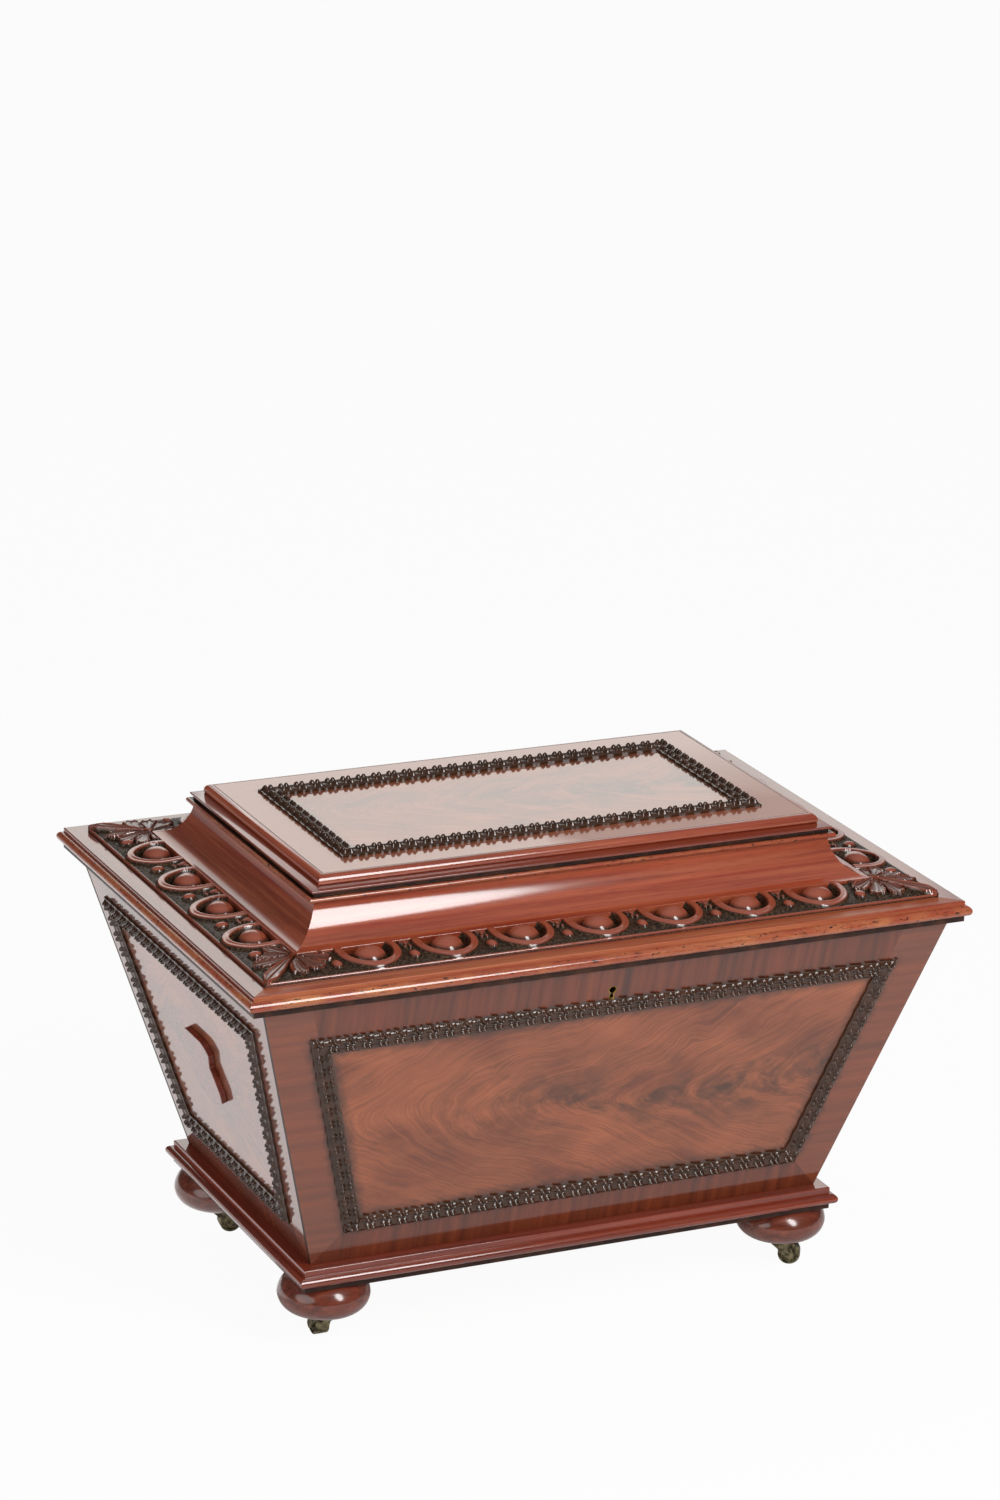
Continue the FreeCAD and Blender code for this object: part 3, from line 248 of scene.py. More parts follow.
def toothed(tree, surface, place, rate, detail, strength, depth):
    """Roughness too fine to model, depth metres deep, from noise of rate cycles per metre."""
    noise = add(tree, NOISE, place, Scale=rate, Detail=detail)
    bump = add(tree, "ShaderNodeBump", Height=noise, Strength=strength, Distance=depth)
    feed(tree, bump, surface.inputs["Normal"])


def straight_grain(tree, place, dark, middle, pale, band=30.0, line=170.0):
    """Straight-grained mahogany: slow bands, fine lines and short dark pores."""
    bands = grain(tree, place, (1.4, band, band), 0.33, 0.67, 3.0, 0.2)
    lines = grain(tree, place, (4.0, line, line), 0.34, 0.68, 4.0)
    pores = grain(tree, place, (45.0, 800.0, 800.0), 0.58, 0.72, 1.0)
    tone = add(tree, BLEND, bands, dark, middle)
    return overlaid(tree, tone, (lines, 0.6, pale), (pores, 0.4, dark))


def solid_mahogany(tree, surface, place, *colours_and_rates):
    """Solid mahogany, French-polished: warm red-brown streaks under a clear glassy coat."""
    return straight_grain(tree, place, *colours_and_rates)


def frame_shade(tree, tone, place, start, full):
    """Painted shade with old wax beside the ripple frames, strongest where the frame attribute
    rises to 1.
    """
    near = add(tree, "ShaderNodeAttribute", attribute_name="wax_and_shade").outputs["Fac"]
    ragged = add(tree, NOISE, place, Scale=70.0, Detail=4.0)
    shifted = add(tree, "MULTIPLY_ADD", add(tree, "SUBTRACT", ragged, 0.5), 0.5, near)
    share = add(tree, RANGE, shifted, start, full, 0.0, 0.72)
    return add(tree, BLEND, share, tone, settings("wood").wax_and_shade)


def crossbanding(tree, surface, place):
    """Crossbanded mahogany veneer, French-polished: short straight grain, with painted shade and
    old wax at the frame.

    The attribute "pale" bleaches it, and "worn" thins its polish.
    """
    wood = settings("wood")
    tone = straight_grain(tree, place, wood.band_dark, wood.band, wood.band_pale, 16.0, 110.0)
    pale = add(tree, "ShaderNodeAttribute", attribute_name="pale").outputs["Fac"]
    tone = overlaid(tree, tone, (pale, 0.75, linear("#a35f45")))
    worn = add(tree, "ShaderNodeAttribute", attribute_name="worn").outputs["Fac"]
    feed(tree, add(tree, RANGE, worn, 0.0, 1.0, 1.0, 0.45), surface.inputs["Coat Weight"])
    # painted shade, with old wax, darkens the veneer beside the ripple frame
    return frame_shade(tree, tone, place, 0.66, 0.90)


def crotch_mahogany(tree, surface, place):
    """Crotch veneer: feathers that meet along a rib, with dark plumes, under French polish.

    The UV map holds metres from the middle of the field, the attribute "sheet" its own figure.
    """
    wood = settings("wood")
    sheet = add(tree, "ShaderNodeAttribute", attribute_name="sheet").outputs["Fac"]
    parts = add(tree, "ShaderNodeSeparateXYZ", place)
    x, y = parts.outputs["X"], parts.outputs["Y"]
    field = add(tree, "ShaderNodeCombineXYZ", x, y, sheet)
    # the rib sways across the field, and far is the distance from it
    sway = add(tree, "SUBTRACT", add(tree, NOISE, field, Scale=6.0, Detail=2.0), 0.5)
    rib = add(tree, "MULTIPLY_ADD", x, -0.06, add(tree, "MULTIPLY", sway, 0.09))
    off = add(tree, "SUBTRACT", y, rib)
    far = add(tree, "POWER", add(tree, "MULTIPLY_ADD", off, off, 0.0003), 0.5)
    # the figure follows feathers that leave the rib on both sides
    waves = add(tree, NOISE, field, Scale=24.0, Detail=4.0)
    waves = add(tree, "MULTIPLY_ADD", waves, 0.034, x)
    along = add(tree, "MULTIPLY_ADD", far, -1.9, waves)
    feather = add(tree, "ShaderNodeCombineXYZ", along, off, sheet)
    rays = grain(tree, feather, (62.0, 13.0, 1.0), 0.36, 0.70, 6.0, 0.4)
    hairs = grain(tree, feather, (330.0, 26.0, 1.0), 0.38, 0.72, 4.0)
    plumes = grain(tree, feather, (25.0, 24.0, 1.0), 0.40, 0.57, 6.0, 0.7)
    mottle = grain(tree, field, (44.0, 60.0, 1.0), 0.40, 0.66, 6.0, 0.8)
    haze = grain(tree, field, (9.0, 16.0, 1.0), 0.34, 0.66, 4.0, 0.4)
    # the plumes lie beside the rib and grow towards the right
    beside = add(tree, RANGE, far, 0.080, 0.020)
    rightwards = add(tree, RANGE, x, -0.18, -0.02, 0.2, 1.0)
    dark = add(tree, "MULTIPLY", plumes, add(tree, "MULTIPLY", beside, rightwards))
    dark = add(tree, "MULTIPLY", dark, add(tree, RANGE, mottle, 0.0, 1.0, 0.45, 1.0))
    strong = add(tree, "MULTIPLY_ADD", beside, 0.4, 0.45)
    tone = add(tree, BLEND, haze, wood.figure, wood.figure_pale)
    tone = overlaid(tree, tone, (rays, strong, wood.figure_pale), (hairs, 0.5, wood.band_dark),
                    (dark, 0.95, wood.figure_dark))
    # painted shade, with old wax, darkens the veneer beside the ripple frame
    return frame_shade(tree, tone, place, 0.28, 0.72)


def rubbed_bead(tree, surface, place):
    """Lid bead rubbed through to copper-coloured wood, with dark specks of old wax."""
    wood = settings("wood")
    tone = straight_grain(tree, place, wood.moulding, wood.wear, wood.wear, 60.0, 300.0)
    patches = grain(tree, place, (26.0, 40.0, 1.0), 0.40, 0.66)
    tone = add(tree, BLEND, patches, wood.moulding_pale, tone)
    specks = grain(tree, place, (190.0, 420.0, 1.0), 0.58, 0.66, 4.0, 1.0)
    return add(tree, BLEND, specks, tone, wood.wax_and_shade)


def carved_mahogany(tree, surface, place):
    """Carved mahogany: dark wax with painted shade in the ground, red-brown polish with painted
    highlight where hands rub the high parts.

    The attribute "polish" is 1 on the high parts and 0 in the ground.
    """
    wood = settings("wood")
    height = add(tree, "ShaderNodeAttribute", attribute_name="polish").outputs["Fac"]
    patches = grain(tree, place, (60.0, 60.0, 60.0), 0.35, 0.70)
    rubbed = add(tree, BLEND, patches, wood.moulding_dark, wood.carving)
    # shine lightens the high parts: rubbed wood with painted highlight
    shine = add(tree, RANGE, height, 0.35, 0.95)
    rubbed = add(tree, BLEND, shine, rubbed, wood.carving_pale)
    specks = grain(tree, place, (500.0, 500.0, 500.0), 0.45, 0.62, 1.0)
    ground = add(tree, BLEND, specks, wood.wax_and_shade, linear("#54402f"))
    feed(tree, add(tree, RANGE, height, 0.05, 0.6, 0.15, 1.0), surface.inputs["Coat Weight"])
    toothed(tree, surface, place, 900.0, 2.0, 0.25, 0.3 * MM)
    # low parts take the dark ground, wax with painted shade; high parts the rubbed colour with
    # painted highlight
    return add(tree, BLEND, add(tree, RANGE, height, 0.10, 0.75), ground, rubbed)


def near_black_mahogany(tree, surface, place, shade):
    """Near-black brown mahogany that glints on every bead: the ripple's own colour, and painted
    shade on fillets, hollows and corner strips.
    """
    patches = grain(tree, place, (60.0, 60.0, 60.0), 0.42, 0.75)
    return add(tree, BLEND, patches, linear(shade), linear("#4b2c1b"))


def bare_wood(tree, surface, place, pale, dark, roughness=0.62):
    """Unpolished board, darkened by age: open grain and no coat."""
    set_inputs(surface, Roughness=roughness)
    return straight_grain(tree, place, linear(dark), linear(pale), linear(pale), 20.0, 90.0)


def aged_metal(tree, surface, place, bright, dull, roughness, patch):
    """Cast or rolled metal with patches of tarnish, patch mm wide, and a fine tooth from wear."""
    set_inputs(surface, Metallic=1.0)
    rate = 1.0 / (patch * MM)
    patches = grain(tree, place, (rate, rate, rate), 0.38, 0.62, 4.0)
    feed(tree, add(tree, RANGE, patches, 0.0, 1.0, roughness + 0.18, roughness),
         surface.inputs["Roughness"])
    toothed(tree, surface, place, rate * 6, 3.0, 0.15, 0.2 * MM)
    return add(tree, BLEND, patches, linear(dull), linear(bright))


def recipes():
    """Every finish by its short name.

    Each has the full name, the texture coordinate, the polish if any, the function that makes
    its colour, and what that needs besides.
    """
    wood = settings("wood")
    streaks = wood.moulding_dark, wood.moulding, wood.moulding_pale
    return {
        "crotch": ("french_polished_crotch_mahogany", "grain", (), crotch_mahogany),
        "crossband": ("crossbanded_mahogany", "grain", (), crossbanding),
        "moulding": ("polished_mahogany_moulding", "UV", (0.10,), solid_mahogany, *streaks),
        # front rail of the lid, its polish rubbed thin and dull by hands
        "handled": ("hand_rubbed_mahogany_rail", "UV", (0.3, 1.5, 0.35), solid_mahogany,
                    wood.moulding, wood.moulding_pale, wood.wear),
        "cove": ("polished_mahogany_cove", "UV", (0.10,), solid_mahogany, wood.cove_dark,
                 wood.cove, wood.cove_pale, 46.0, 150.0),
        "turned": ("turned_mahogany", "Object", (0.16,), solid_mahogany, wood.moulding_dark,
                   wood.carving, wood.carving_pale),
        "shield": ("polished_mahogany_shield", "Object", (0.10,), solid_mahogany, *streaks),
        "bead": ("rubbed_mahogany_bead", "UV", (0.11, 1.6), rubbed_bead),
        "carved": ("carved_mahogany", "Object", (0.12,), carved_mahogany),
        # painted shade: near-black on the fillets and hollows under the beads and on the strip
        # before the top panel
        "dark": ("wax_blackened_mahogany", "Object", (0.3, 1.4, 0.4), near_black_mahogany,
                 "#2b1711"),
        "ripple": ("ebonised_ripple_moulding", "Object", (0.08, 1.5), near_black_mahogany,
                   "#38200f"),
        # painted shade: a near-black strip along the case corners, in place of a rounded corner's
        # shade
        "stringing": ("ebony_stringing", "Object", (0.3, 1.2, 0.1), near_black_mahogany,
                      "#1e1814"),
        "board": ("bare_mahogany_board", "UV", None, bare_wood, "#8a4c34", "#5a2f22"),
        "pine": ("aged_pine_board", "Object", None, bare_wood, "#9a7350", "#6e4d33"),
        "slat": ("oiled_mahogany_slat", "Object", None, bare_wood, "#7b3f2a", "#4c2419", 0.5),
        "brass": ("worn_brass", "Object", None, aged_metal, "#c9a75a", "#8d6c33", 0.28, 9),
        "castor": ("tarnished_brass", "Object", None, aged_metal, "#958a6c", "#4b4637", 0.42, 5),
        "steel": ("lock_steel", "Object", None, aged_metal, "#8f8b86", "#4c4743", 0.40, 7),
        "zinc": ("dull_zinc_sheet", "Object", None, aged_metal, "#a5a9aa", "#848b8d", 0.48, 40),
    }


FINISHES = {}


def finish(name):
    """The material of that short name, made on first use."""
    if name not in FINISHES:
        full_name, source, polish, make, *needs = recipes()[name]
        FINISHES[name], tree, surface = blank(full_name)
        if polish is not None:
            polished(surface, *polish)
        if source == "grain":
            place = add(tree, "ShaderNodeUVMap", uv_map=source).outputs["UV"]
        else:
            place = add(tree, "ShaderNodeTexCoord").outputs[source]
        feed(tree, make(tree, surface, place, *needs), surface.inputs["Base Color"])
    return FINISHES[name]


# ---- mesh helpers

# the four corners of a rectangle, as directions from its middle
QUADRANTS = ((-1, -1), (1, -1), (1, 1), (-1, 1))


def around(corners):
    """The sides of a ring of corners, each as its two ends."""
    return list(zip(corners, np.roll(corners, -1, axis=0)))


def strip_faces(first, columns, rows):
    """Faces of a closed strip of so many columns, from the number of its first point."""
    faces = []
    for a in range(first, first + columns * rows, rows):
        faces += [(a + r, a + r + rows, a + r + rows + 1, a + r + 1) for r in range(rows - 1)]
        faces.append((a + rows, a, a + rows - 1, a + 2 * rows - 1))
    return faces


def turned(points, side):
    """Points given as along the side, outwards from the middle, and up, in the object's frame."""
    angle = math.radians(SIDES[side])
    c, s = math.cos(angle), math.sin(angle)
    points = np.asarray(points, float)
    x, y, z = points[..., 0], -points[..., 1], points[..., 2]
    return np.stack([c * x - s * y, s * x + c * y, z], -1)


def placed(name, data):
    """New object of that name in the scene."""
    thing = bpy.data.objects.new(name, data)
    bpy.context.scene.collection.objects.link(thing)
    return thing


def as_piece(mesh, *materials):
    """Object in the scene from a mesh and the short names of its finishes."""
    for material in materials:
        mesh.materials.append(finish(material))
    return placed(mesh.name, mesh)


def smoothed(mesh, angle):
    """Smooth shading, with the edges sharper than so many degrees kept."""
    mesh.shade_smooth()
    mesh.set_sharp_from_angle(angle=math.radians(angle))


def welded(mesh, distance, outwards=False):
    """Joins the points of a mesh that lie together, and can turn its faces outwards."""
    work = bmesh.new()
    work.from_mesh(mesh)
    bmesh.ops.remove_doubles(work, verts=work.verts, dist=distance)
    if outwards:
        bmesh.ops.recalc_face_normals(work, faces=work.faces)
    work.to_mesh(mesh)
    work.free()


def mesh_piece(name, points, faces, materials, paint=None, uv=None, angle=35):
    """Object from points and faces; paint gives each face's material, uv each point's place."""
    mesh = bpy.data.meshes.new(name)
    mesh.from_pydata([tuple(p) for p in points], [], faces)
    if paint is not None:
        mesh.polygons.foreach_set("material_index", np.asarray(paint, np.int32))
    if uv is not None:
        corners = np.empty(len(mesh.loops), np.int32)
        mesh.loops.foreach_get("vertex_index", corners)
        layer = mesh.uv_layers.new(name="grain")
        layer.data.foreach_set("uv", np.asarray(uv, np.float32)[corners].ravel())
    smoothed(mesh, angle)
    mesh.update()
    return as_piece(mesh, *materials)


def mark(mesh, name, values, domain="POINT"):
    """Stores a number or a vector on each point or face of a mesh."""
    values = np.asarray(values, np.float32)
    kind, key = ("FLOAT", "value") if values.ndim == 1 else ("FLOAT_VECTOR", "vector")
    mesh.attributes.new(name, kind, domain).data.foreach_set(key, values.ravel())


def applied(piece):
    """Turns the result of the modifiers into the piece's own plain mesh."""
    bpy.context.view_layer.update()
    shaped = piece.evaluated_get(bpy.context.evaluated_depsgraph_get())
    piece.data = bpy.data.meshes.new_from_object(shaped)
    piece.modifiers.clear()
    return piece.data


def settle(piece, body, slot, *nodes):
    """Freezes modifiers into the mesh, hangs the piece under its body and hides the CAD nodes;
    slot is not used.
    """
    if piece.modifiers:
        applied(piece)
    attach(piece, body)
    if nodes:
        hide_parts(*nodes)


def copied(node):
    """Mesh copy of a CAD node, its triangles merged into flat faces."""
    work = bmesh.new()
    work.from_mesh(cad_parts[node].data)
    bmesh.ops.remove_doubles(work, verts=work.verts, dist=WELD)
    bmesh.ops.dissolve_limit(work, angle_limit=math.radians(0.4), verts=work.verts,
                             edges=work.edges)
    return work


def freed(work, name):
    """Plain mesh of that name from a worked one."""
    mesh = bpy.data.meshes.new(name)
    work.to_mesh(mesh)
    work.free()
    return mesh


# grip of a curve that makes a quarter circle
QUARTER = 0.5523


def rounded(corners, steps=5):
    """Outline through corners (x, y, reach, paint), each rounded over its reach."""
    points, paints = [], []
    for i, (x, y, reach, paint) in enumerate(corners):
        reaches = reach if isinstance(reach, tuple) else (reach, reach)
        corner = Vector((x, y))
        if not reaches[0]:
            points.append((x, y))
            paints.append(paint)
            continue
        ends = []
        for other, far in zip((corners[i - 1], corners[(i + 1) % len(corners)]), reaches):
            ends.append(corner + (Vector(other[:2]) - corner).normalized() * far)
        grips = [end + (corner - end) * QUARTER for end in ends]
        for k in range(steps + 1):
            t = k / steps
            point = ((1 - t) ** 3 * ends[0] + 3 * t * (1 - t) ** 2 * grips[0]
                     + 3 * t * t * (1 - t) * grips[1] + t ** 3 * ends[1])
            points.append(tuple(point))
            paints.append(paint)
    return points, paints


def moulding(name, side, half, level, corners, materials, steps=5):
    """Mitred length of moulding; corners are (outwards, up, reach, paint) in mm."""
    half_long, half_deep = half if side in LONG_SIDES else half[::-1]
    outline, paints = rounded(corners, steps)
    count = len(outline)
    outs = np.array([p[0] for p in outline]) * MM
    ups = np.array([p[1] for p in outline]) * MM + level
    points = np.concatenate([np.stack([way * (half_long + outs), half_deep + outs, ups], -1)
                             for way in (-1, 1)])
    walk = np.concatenate([[0], np.cumsum(np.hypot(np.diff(outs), np.diff(ups)))])
    uv = np.stack([points[:, 0] + SIDES[side] / 70, np.tile(walk, 2)], -1)
    faces = [(i, i + count, (i + 1) % count + count, (i + 1) % count) for i in range(count)]
    faces += [tuple(range(count)), tuple(reversed(range(count, 2 * count)))]
    piece = mesh_piece(name, turned(points, side), faces, materials, paints + [paints[-1]] * 2,
                       uv, angle=40)
    piece.modifiers.new("flats stay flat", "WEIGHTED_NORMAL").keep_sharp = True
    return piece


def edged_board(name, half, level, corners, materials, steps=5):
    """Board with a moulded edge all round; corners run from its underside to its top."""
    outline, paints = rounded(corners, steps)
    points, uv, faces, paint = [], [], [], []
    walk = 0.0
    for i, (out, up) in enumerate(outline):
        if i:
            walk += math.dist(outline[i - 1], outline[i]) * MM
        for k in range(4):
            for end in (k, (k + 1) % 4):
                sx, sy = QUADRANTS[end]
                x, y = sx * (half[0] + out * MM), sy * (half[1] + out * MM)
                points.append((x, y, level + up * MM))
                uv.append(((x, y)[k % 2] + k, walk))
    for i in range(len(outline) - 1):
        for k in range(4):
            a = i * 8 + k * 2
            faces.append((a, a + 1, a + 9, a + 8))
            paint.append(paints[i + 1])
    last = (len(outline) - 1) * 8
    faces += [(6, 4, 2, 0), (last, last + 2, last + 4, last + 6)]
    paint += [paints[0], paints[-1]]
    piece = mesh_piece(name, points, faces, materials, paint, uv, angle=40)
    mesh = piece.data
    for face in mesh.polygons[-2:]:
        for at in face.loop_indices:
            place = mesh.vertices[mesh.loops[at].vertex_index].co.xy
            mesh.uv_layers["grain"].data[at].uv = place
    welded(mesh, WELD)
    smoothed(mesh, 40)
    piece.modifiers.new("flats stay flat", "WEIGHTED_NORMAL").keep_sharp = True
    return piece


def half_sizes(*nodes):
    """Largest half width and half depth, and the lowest level, of some CAD nodes."""
    lows, highs = zip(*(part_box(node) for node in nodes))
    return (max(h.x for h in highs), max(h.y for h in highs)), min(low.z for low in lows)


# ---- veneered faces

# width of the veneer beside a ripple frame that painted shade and old wax darken
FRAME_SHADE_WIDTH = 17 * MM
# from one sheet of veneer to the next, so that each has a figure of its own
SHEET = 1.3


class Face:
    """A flat outer face with its own directions: along, up and off the face."""

    def __init__(self, node, origin, along, up):
        self.node, self.origin = node, np.array(origin, float)
        along, up = np.array(along, float), np.array(up, float)
        self.turn = np.stack([along, up, np.cross(along, up)])
        points = self.points_of(node)
        self.corners = self.four_corners(points[np.abs(points[:, 2]) < NEAR], NEAR)

    def world(self, points):
        """Points in the object's frame, from (along, up, off)."""
        return self.origin + np.asarray(points, float) @ self.turn

    def local(self, points):
        """Points as (along, up, off), from the object's frame."""
        return (np.asarray(points, float) - self.origin) @ self.turn.T

    def points_of(self, node):
        """Points of a CAD node as (along, up, off)."""
        return self.local([v.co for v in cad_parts[node].data.vertices])

    def four_corners(self, points, near):
        """Corners of an even-sided outline, from bottom left, with a level top and bottom."""
        low, high = points[:, 1].min(), points[:, 1].max()
        x_low = points[points[:, 1] < low + near][:, 0].max()
        x_high = points[points[:, 1] > high - near][:, 0].max()
        return np.array([(-x_low, low), (x_low, low), (x_high, high), (-x_high, high)])

    def frame_corners(self, node):
        """Outer corners of the ripple frame that lies on this face."""
        return self.four_corners(self.points_of(node), 10 * NEAR)

    def shifted(self, corners, inset):
        """Corners of a four-sided frame moved inwards by an even inset."""
        moved, sides = [], around(corners)
        for pair in zip(sides[-1:] + sides[:-1], sides):
            rows, offs = [], []
            for a, b in pair:
                way = (b - a) / np.linalg.norm(b - a)
                inward = np.array([-way[1], way[0]])
                rows.append(inward)
                offs.append(inward @ a + inset)
            moved.append(np.linalg.solve(np.array(rows), offs))
        return np.array(moved)


def side_face(side):
    """The sloping outer face of a case board."""
    node = side + "_panel"
    points = np.array([v.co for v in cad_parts[node].data.vertices])
    outwards, height = points[:, 1 if side in LONG_SIDES else 0], points[:, 2]
    low, high = height.min(), height.max()
    foot = np.abs(outwards[height < low + NEAR]).max()
    top = np.abs(outwards[height > high - NEAR]).max()
    origin = turned((0, foot, low), side)
    up = turned((0, top, high), side) - origin
    return Face(node, origin, turned((1, 0, 0), side), up / np.linalg.norm(up))


def top_face():
    """The upper face of the top panel."""
    return Face("top_panel", (0, 0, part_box("top_panel")[1].z), (1, 0, 0), (0, 1, 0))


def cut_along(work, face, faces, a, b):
    """Cuts some faces of a mesh along the line from a to b of a flat face."""
    geometry = list({item for one in faces for item in (one, *one.edges, *one.verts)})
    start, way = face.world((*a, 0)), face.world((*b, 0)) - face.world((*a, 0))
    across = np.cross(way, face.turn[2])
    bmesh.ops.bisect_plane(work, geom=geometry, plane_co=start,
                           plane_no=across / np.linalg.norm(across), dist=WELD)


def veneered(face, ripple_node, body, sheet, corner_lines):
    """CAD board with crotch veneer in its ripple frame and crossbanding around it."""
    edges, ripple = settings("edges"), settings("ripple")
    middle = face.shifted(face.frame_corners(ripple_node), ripple.width / 2)
    # the painted shade reaches this far from the middle line of the frame
    shade_reach = ripple.width / 2 + FRAME_SHADE_WIDTH
    inner = face.shifted(middle, shade_reach)
    board = face.corners
    # a dark strip along the board's corners is painted shade of a rounded corner
    corner_shade_edge = board + np.array([(way * edges.stringing, 0) for way in (1, -1, -1, 1)])
    work = copied(face.node)
    out = Vector(face.turn[2])

    def outer_faces():
        """Faces of the work that lie on the outer face."""
        return [f for f in work.faces if f.normal.dot(out) > 0.999
                and abs(face.local(f.calc_center_median())[2]) < 10 * NEAR]

    def depth(corners, x, y):
        """Distance of a place from the nearest side of a ring, less than 0 outside it."""
        distances = []
        for a, b in around(corners):
            way = (b - a) / np.linalg.norm(b - a)
            distances.append(way[0] * (y - a[1]) - way[1] * (x - a[0]))
        return min(distances)

    def beyond(corners, x, y):
        """Whether a place lies outside a ring."""
        return depth(corners, x, y) < -NEAR

    lines = around(middle) + list(zip(middle, board))
    if corner_lines:
        lines += [(corner_shade_edge[1], corner_shade_edge[2]), (corner_shade_edge[0], corner_shade_edge[3])]
    for a, b in lines:
        cut_along(work, face, outer_faces(), a, b)
    for a, b in around(inner) + list(zip(middle, inner)):
        field = [f for f in outer_faces()
                 if not beyond(middle, *face.local(f.calc_center_median())[:2])]
        cut_along(work, face, field, a, b)
    layer = work.loops.layers.uv.new("grain")
    outer, pale = set(outer_faces()), []
    mid_y = (middle[0][1] + middle[2][1]) / 2
    on_top = face.node == "top_panel"
    for item in work.faces:
        item.smooth = False
        x, y, _ = face.local(item.calc_center_median())
        past = max(y - middle[2][1], middle[0][1] - y)
        beside = past < 0 or abs(x) - middle[1][0] > past
        pale.append(1.0 if on_top else 0.35 if beside else 0.0)
        if item not in outer:
            item.material_index = 2
        elif not beyond(middle, x, y):
            item.material_index = 0
        # the corner strip takes the painted shade
        elif corner_lines and beyond(corner_shade_edge, x, y):
            item.material_index = 3
        else:
            item.material_index = 1
        for loop in item.loops:
            lx, ly, lo = face.local(loop.vert.co)
            if item.material_index == 1 and not beside:
                loop[layer].uv = (ly, lx + sheet)
            else:
                loop[layer].uv = (lx, ly - mid_y - lo)
    mesh = freed(work, face.node + "_veneered")
    places = face.local([v.co for v in mesh.vertices])
    # painted shade beside the ripple frame: 1 at the frame, falling to 0 at the end of its reach
    mark(mesh, "wax_and_shade", [0.0 if abs(lo) > 10 * NEAR or beyond(middle, x, y)
                         else max(0.0, 1 - depth(middle, x, y) / shade_reach) for x, y, lo in places])
    mark(mesh, "sheet", np.full(len(places), sheet))
    mark(mesh, "pale", pale, domain="FACE")
    # hands wear the polish thin towards the right end of the front edge
    mark(mesh, "worn", [float(on_top and y < mid_y and x > 0) for x, y, _ in places])
    piece = as_piece(mesh, "crotch", "crossband", "board", "stringing")
    settle(piece, body, "veneer", face.node)


# ---- ripple mouldings

# centre and half length of a bead, in pitches from the middle of its pair, and how high the
# saddle beside it is
BEAD_CENTRE, BEAD_HALF, SADDLE = 0.172, 0.14, 0.36
# rows of beads: centre and half width, from -1 to 1 across the moulding, and height
REEDS = ((-0.48, 0.46, 1.0), (0.06, 0.16, 0.30), (0.54, 0.40, 0.85))


def ripple_tree():
    """Geometry nodes that raise reeds and pairs of beads on a flat strip."""
    tree = bpy.data.node_groups.new("ripple moulding", "GeometryNodeTree")
    sizes = [(name, "INPUT", "Float") for name in ("Pitch", "Reed", "Crown", "Rim", "Scallop")]
    for name, way, kind in (("Geometry", "INPUT", "Geometry"), *sizes,
                            ("Finish", "INPUT", "Material"), ("Geometry", "OUTPUT", "Geometry")):
        socket = tree.interface.new_socket(name, in_out=way, socket_type="NodeSocket" + kind)
        if kind == "Float":
            socket.default_value = getattr(settings("ripple"), name.lower())
    given = add(tree, "NodeGroupInput").outputs
    stored = {name: add(tree, "GeometryNodeInputNamedAttribute", Name=name, data_type=kind)
              for name, kind in (("along", "FLOAT"), ("across", "FLOAT"), ("top", "FLOAT"),
                                 ("normal", "FLOAT_VECTOR"), ("inward", "FLOAT_VECTOR"))}
    # 0 in the middle between the two beads of a pair, 0.5 between two pairs
    turn = add(tree, "FRACT", add(tree, "DIVIDE", stored["along"], given["Pitch"]))
    turn = add(tree, "ABSOLUTE", add(tree, "SUBTRACT", turn, 0.5))
    # a bead is round, and low saddles join the beads
    bead = add(tree, "DIVIDE", add(tree, "SUBTRACT", turn, BEAD_CENTRE), BEAD_HALF)
    bead = add(tree, "MULTIPLY_ADD", add(tree, "MULTIPLY", bead, bead), -1.0, 1.0)
    bead = add(tree, "POWER", add(tree, "MAXIMUM", bead, 0.0), 0.5)
    swell = add(tree, "MULTIPLY_ADD", bead, 1.0 - SADDLE, SADDLE)
    reeds = None
    for centre, half, tall in REEDS:
        v = add(tree, "DIVIDE", add(tree, "SUBTRACT", stored["across"], centre), half)
        v = add(tree, "MINIMUM", add(tree, "ABSOLUTE", v), 1.0)
        v = add(tree, "COSINE", add(tree, "MULTIPLY", v, math.pi))
        v = add(tree, "MULTIPLY_ADD", v, tall / 2, tall / 2)
        reeds = v if reeds is None else add(tree, "MAXIMUM", reeds, v)
    raised = add(tree, "MULTIPLY_ADD", add(tree, "MULTIPLY", reeds, swell),
                 given["Reed"], given["Rim"])
    square = add(tree, "MULTIPLY", stored["across"], stored["across"])
    arch = add(tree, "SUBTRACT", 1.0, square)
    rise = add(tree, "SUBTRACT", given["Crown"], given["Rim"])
    height = add(tree, "MULTIPLY", add(tree, "MULTIPLY_ADD", arch, rise, raised), stored["top"])
    lift = add(tree, "ShaderNodeVectorMath", stored["normal"], height, operation="SCALE")
    wave = add(tree, "COSINE", add(tree, "MULTIPLY", turn, 2 * math.pi))
    wave = add(tree, "MULTIPLY", add(tree, "MULTIPLY_ADD", wave, -0.5, -0.5), stored["across"])
    wave = add(tree, "MULTIPLY", wave, given["Scallop"])
    shift = add(tree, "ShaderNodeVectorMath", stored["inward"], wave, operation="SCALE")
    both = add(tree, "ShaderNodeVectorMath", lift, shift, operation="ADD")
    moved = add(tree, "GeometryNodeSetPosition", Geometry=given["Geometry"], Offset=both)
    real = add(tree, "GeometryNodeRealizeInstances", Geometry=moved)
    add(tree, "NodeGroupOutput",
        Geometry=add(tree, "GeometryNodeSetMaterial", Geometry=real, Material=given["Finish"]))
    return tree


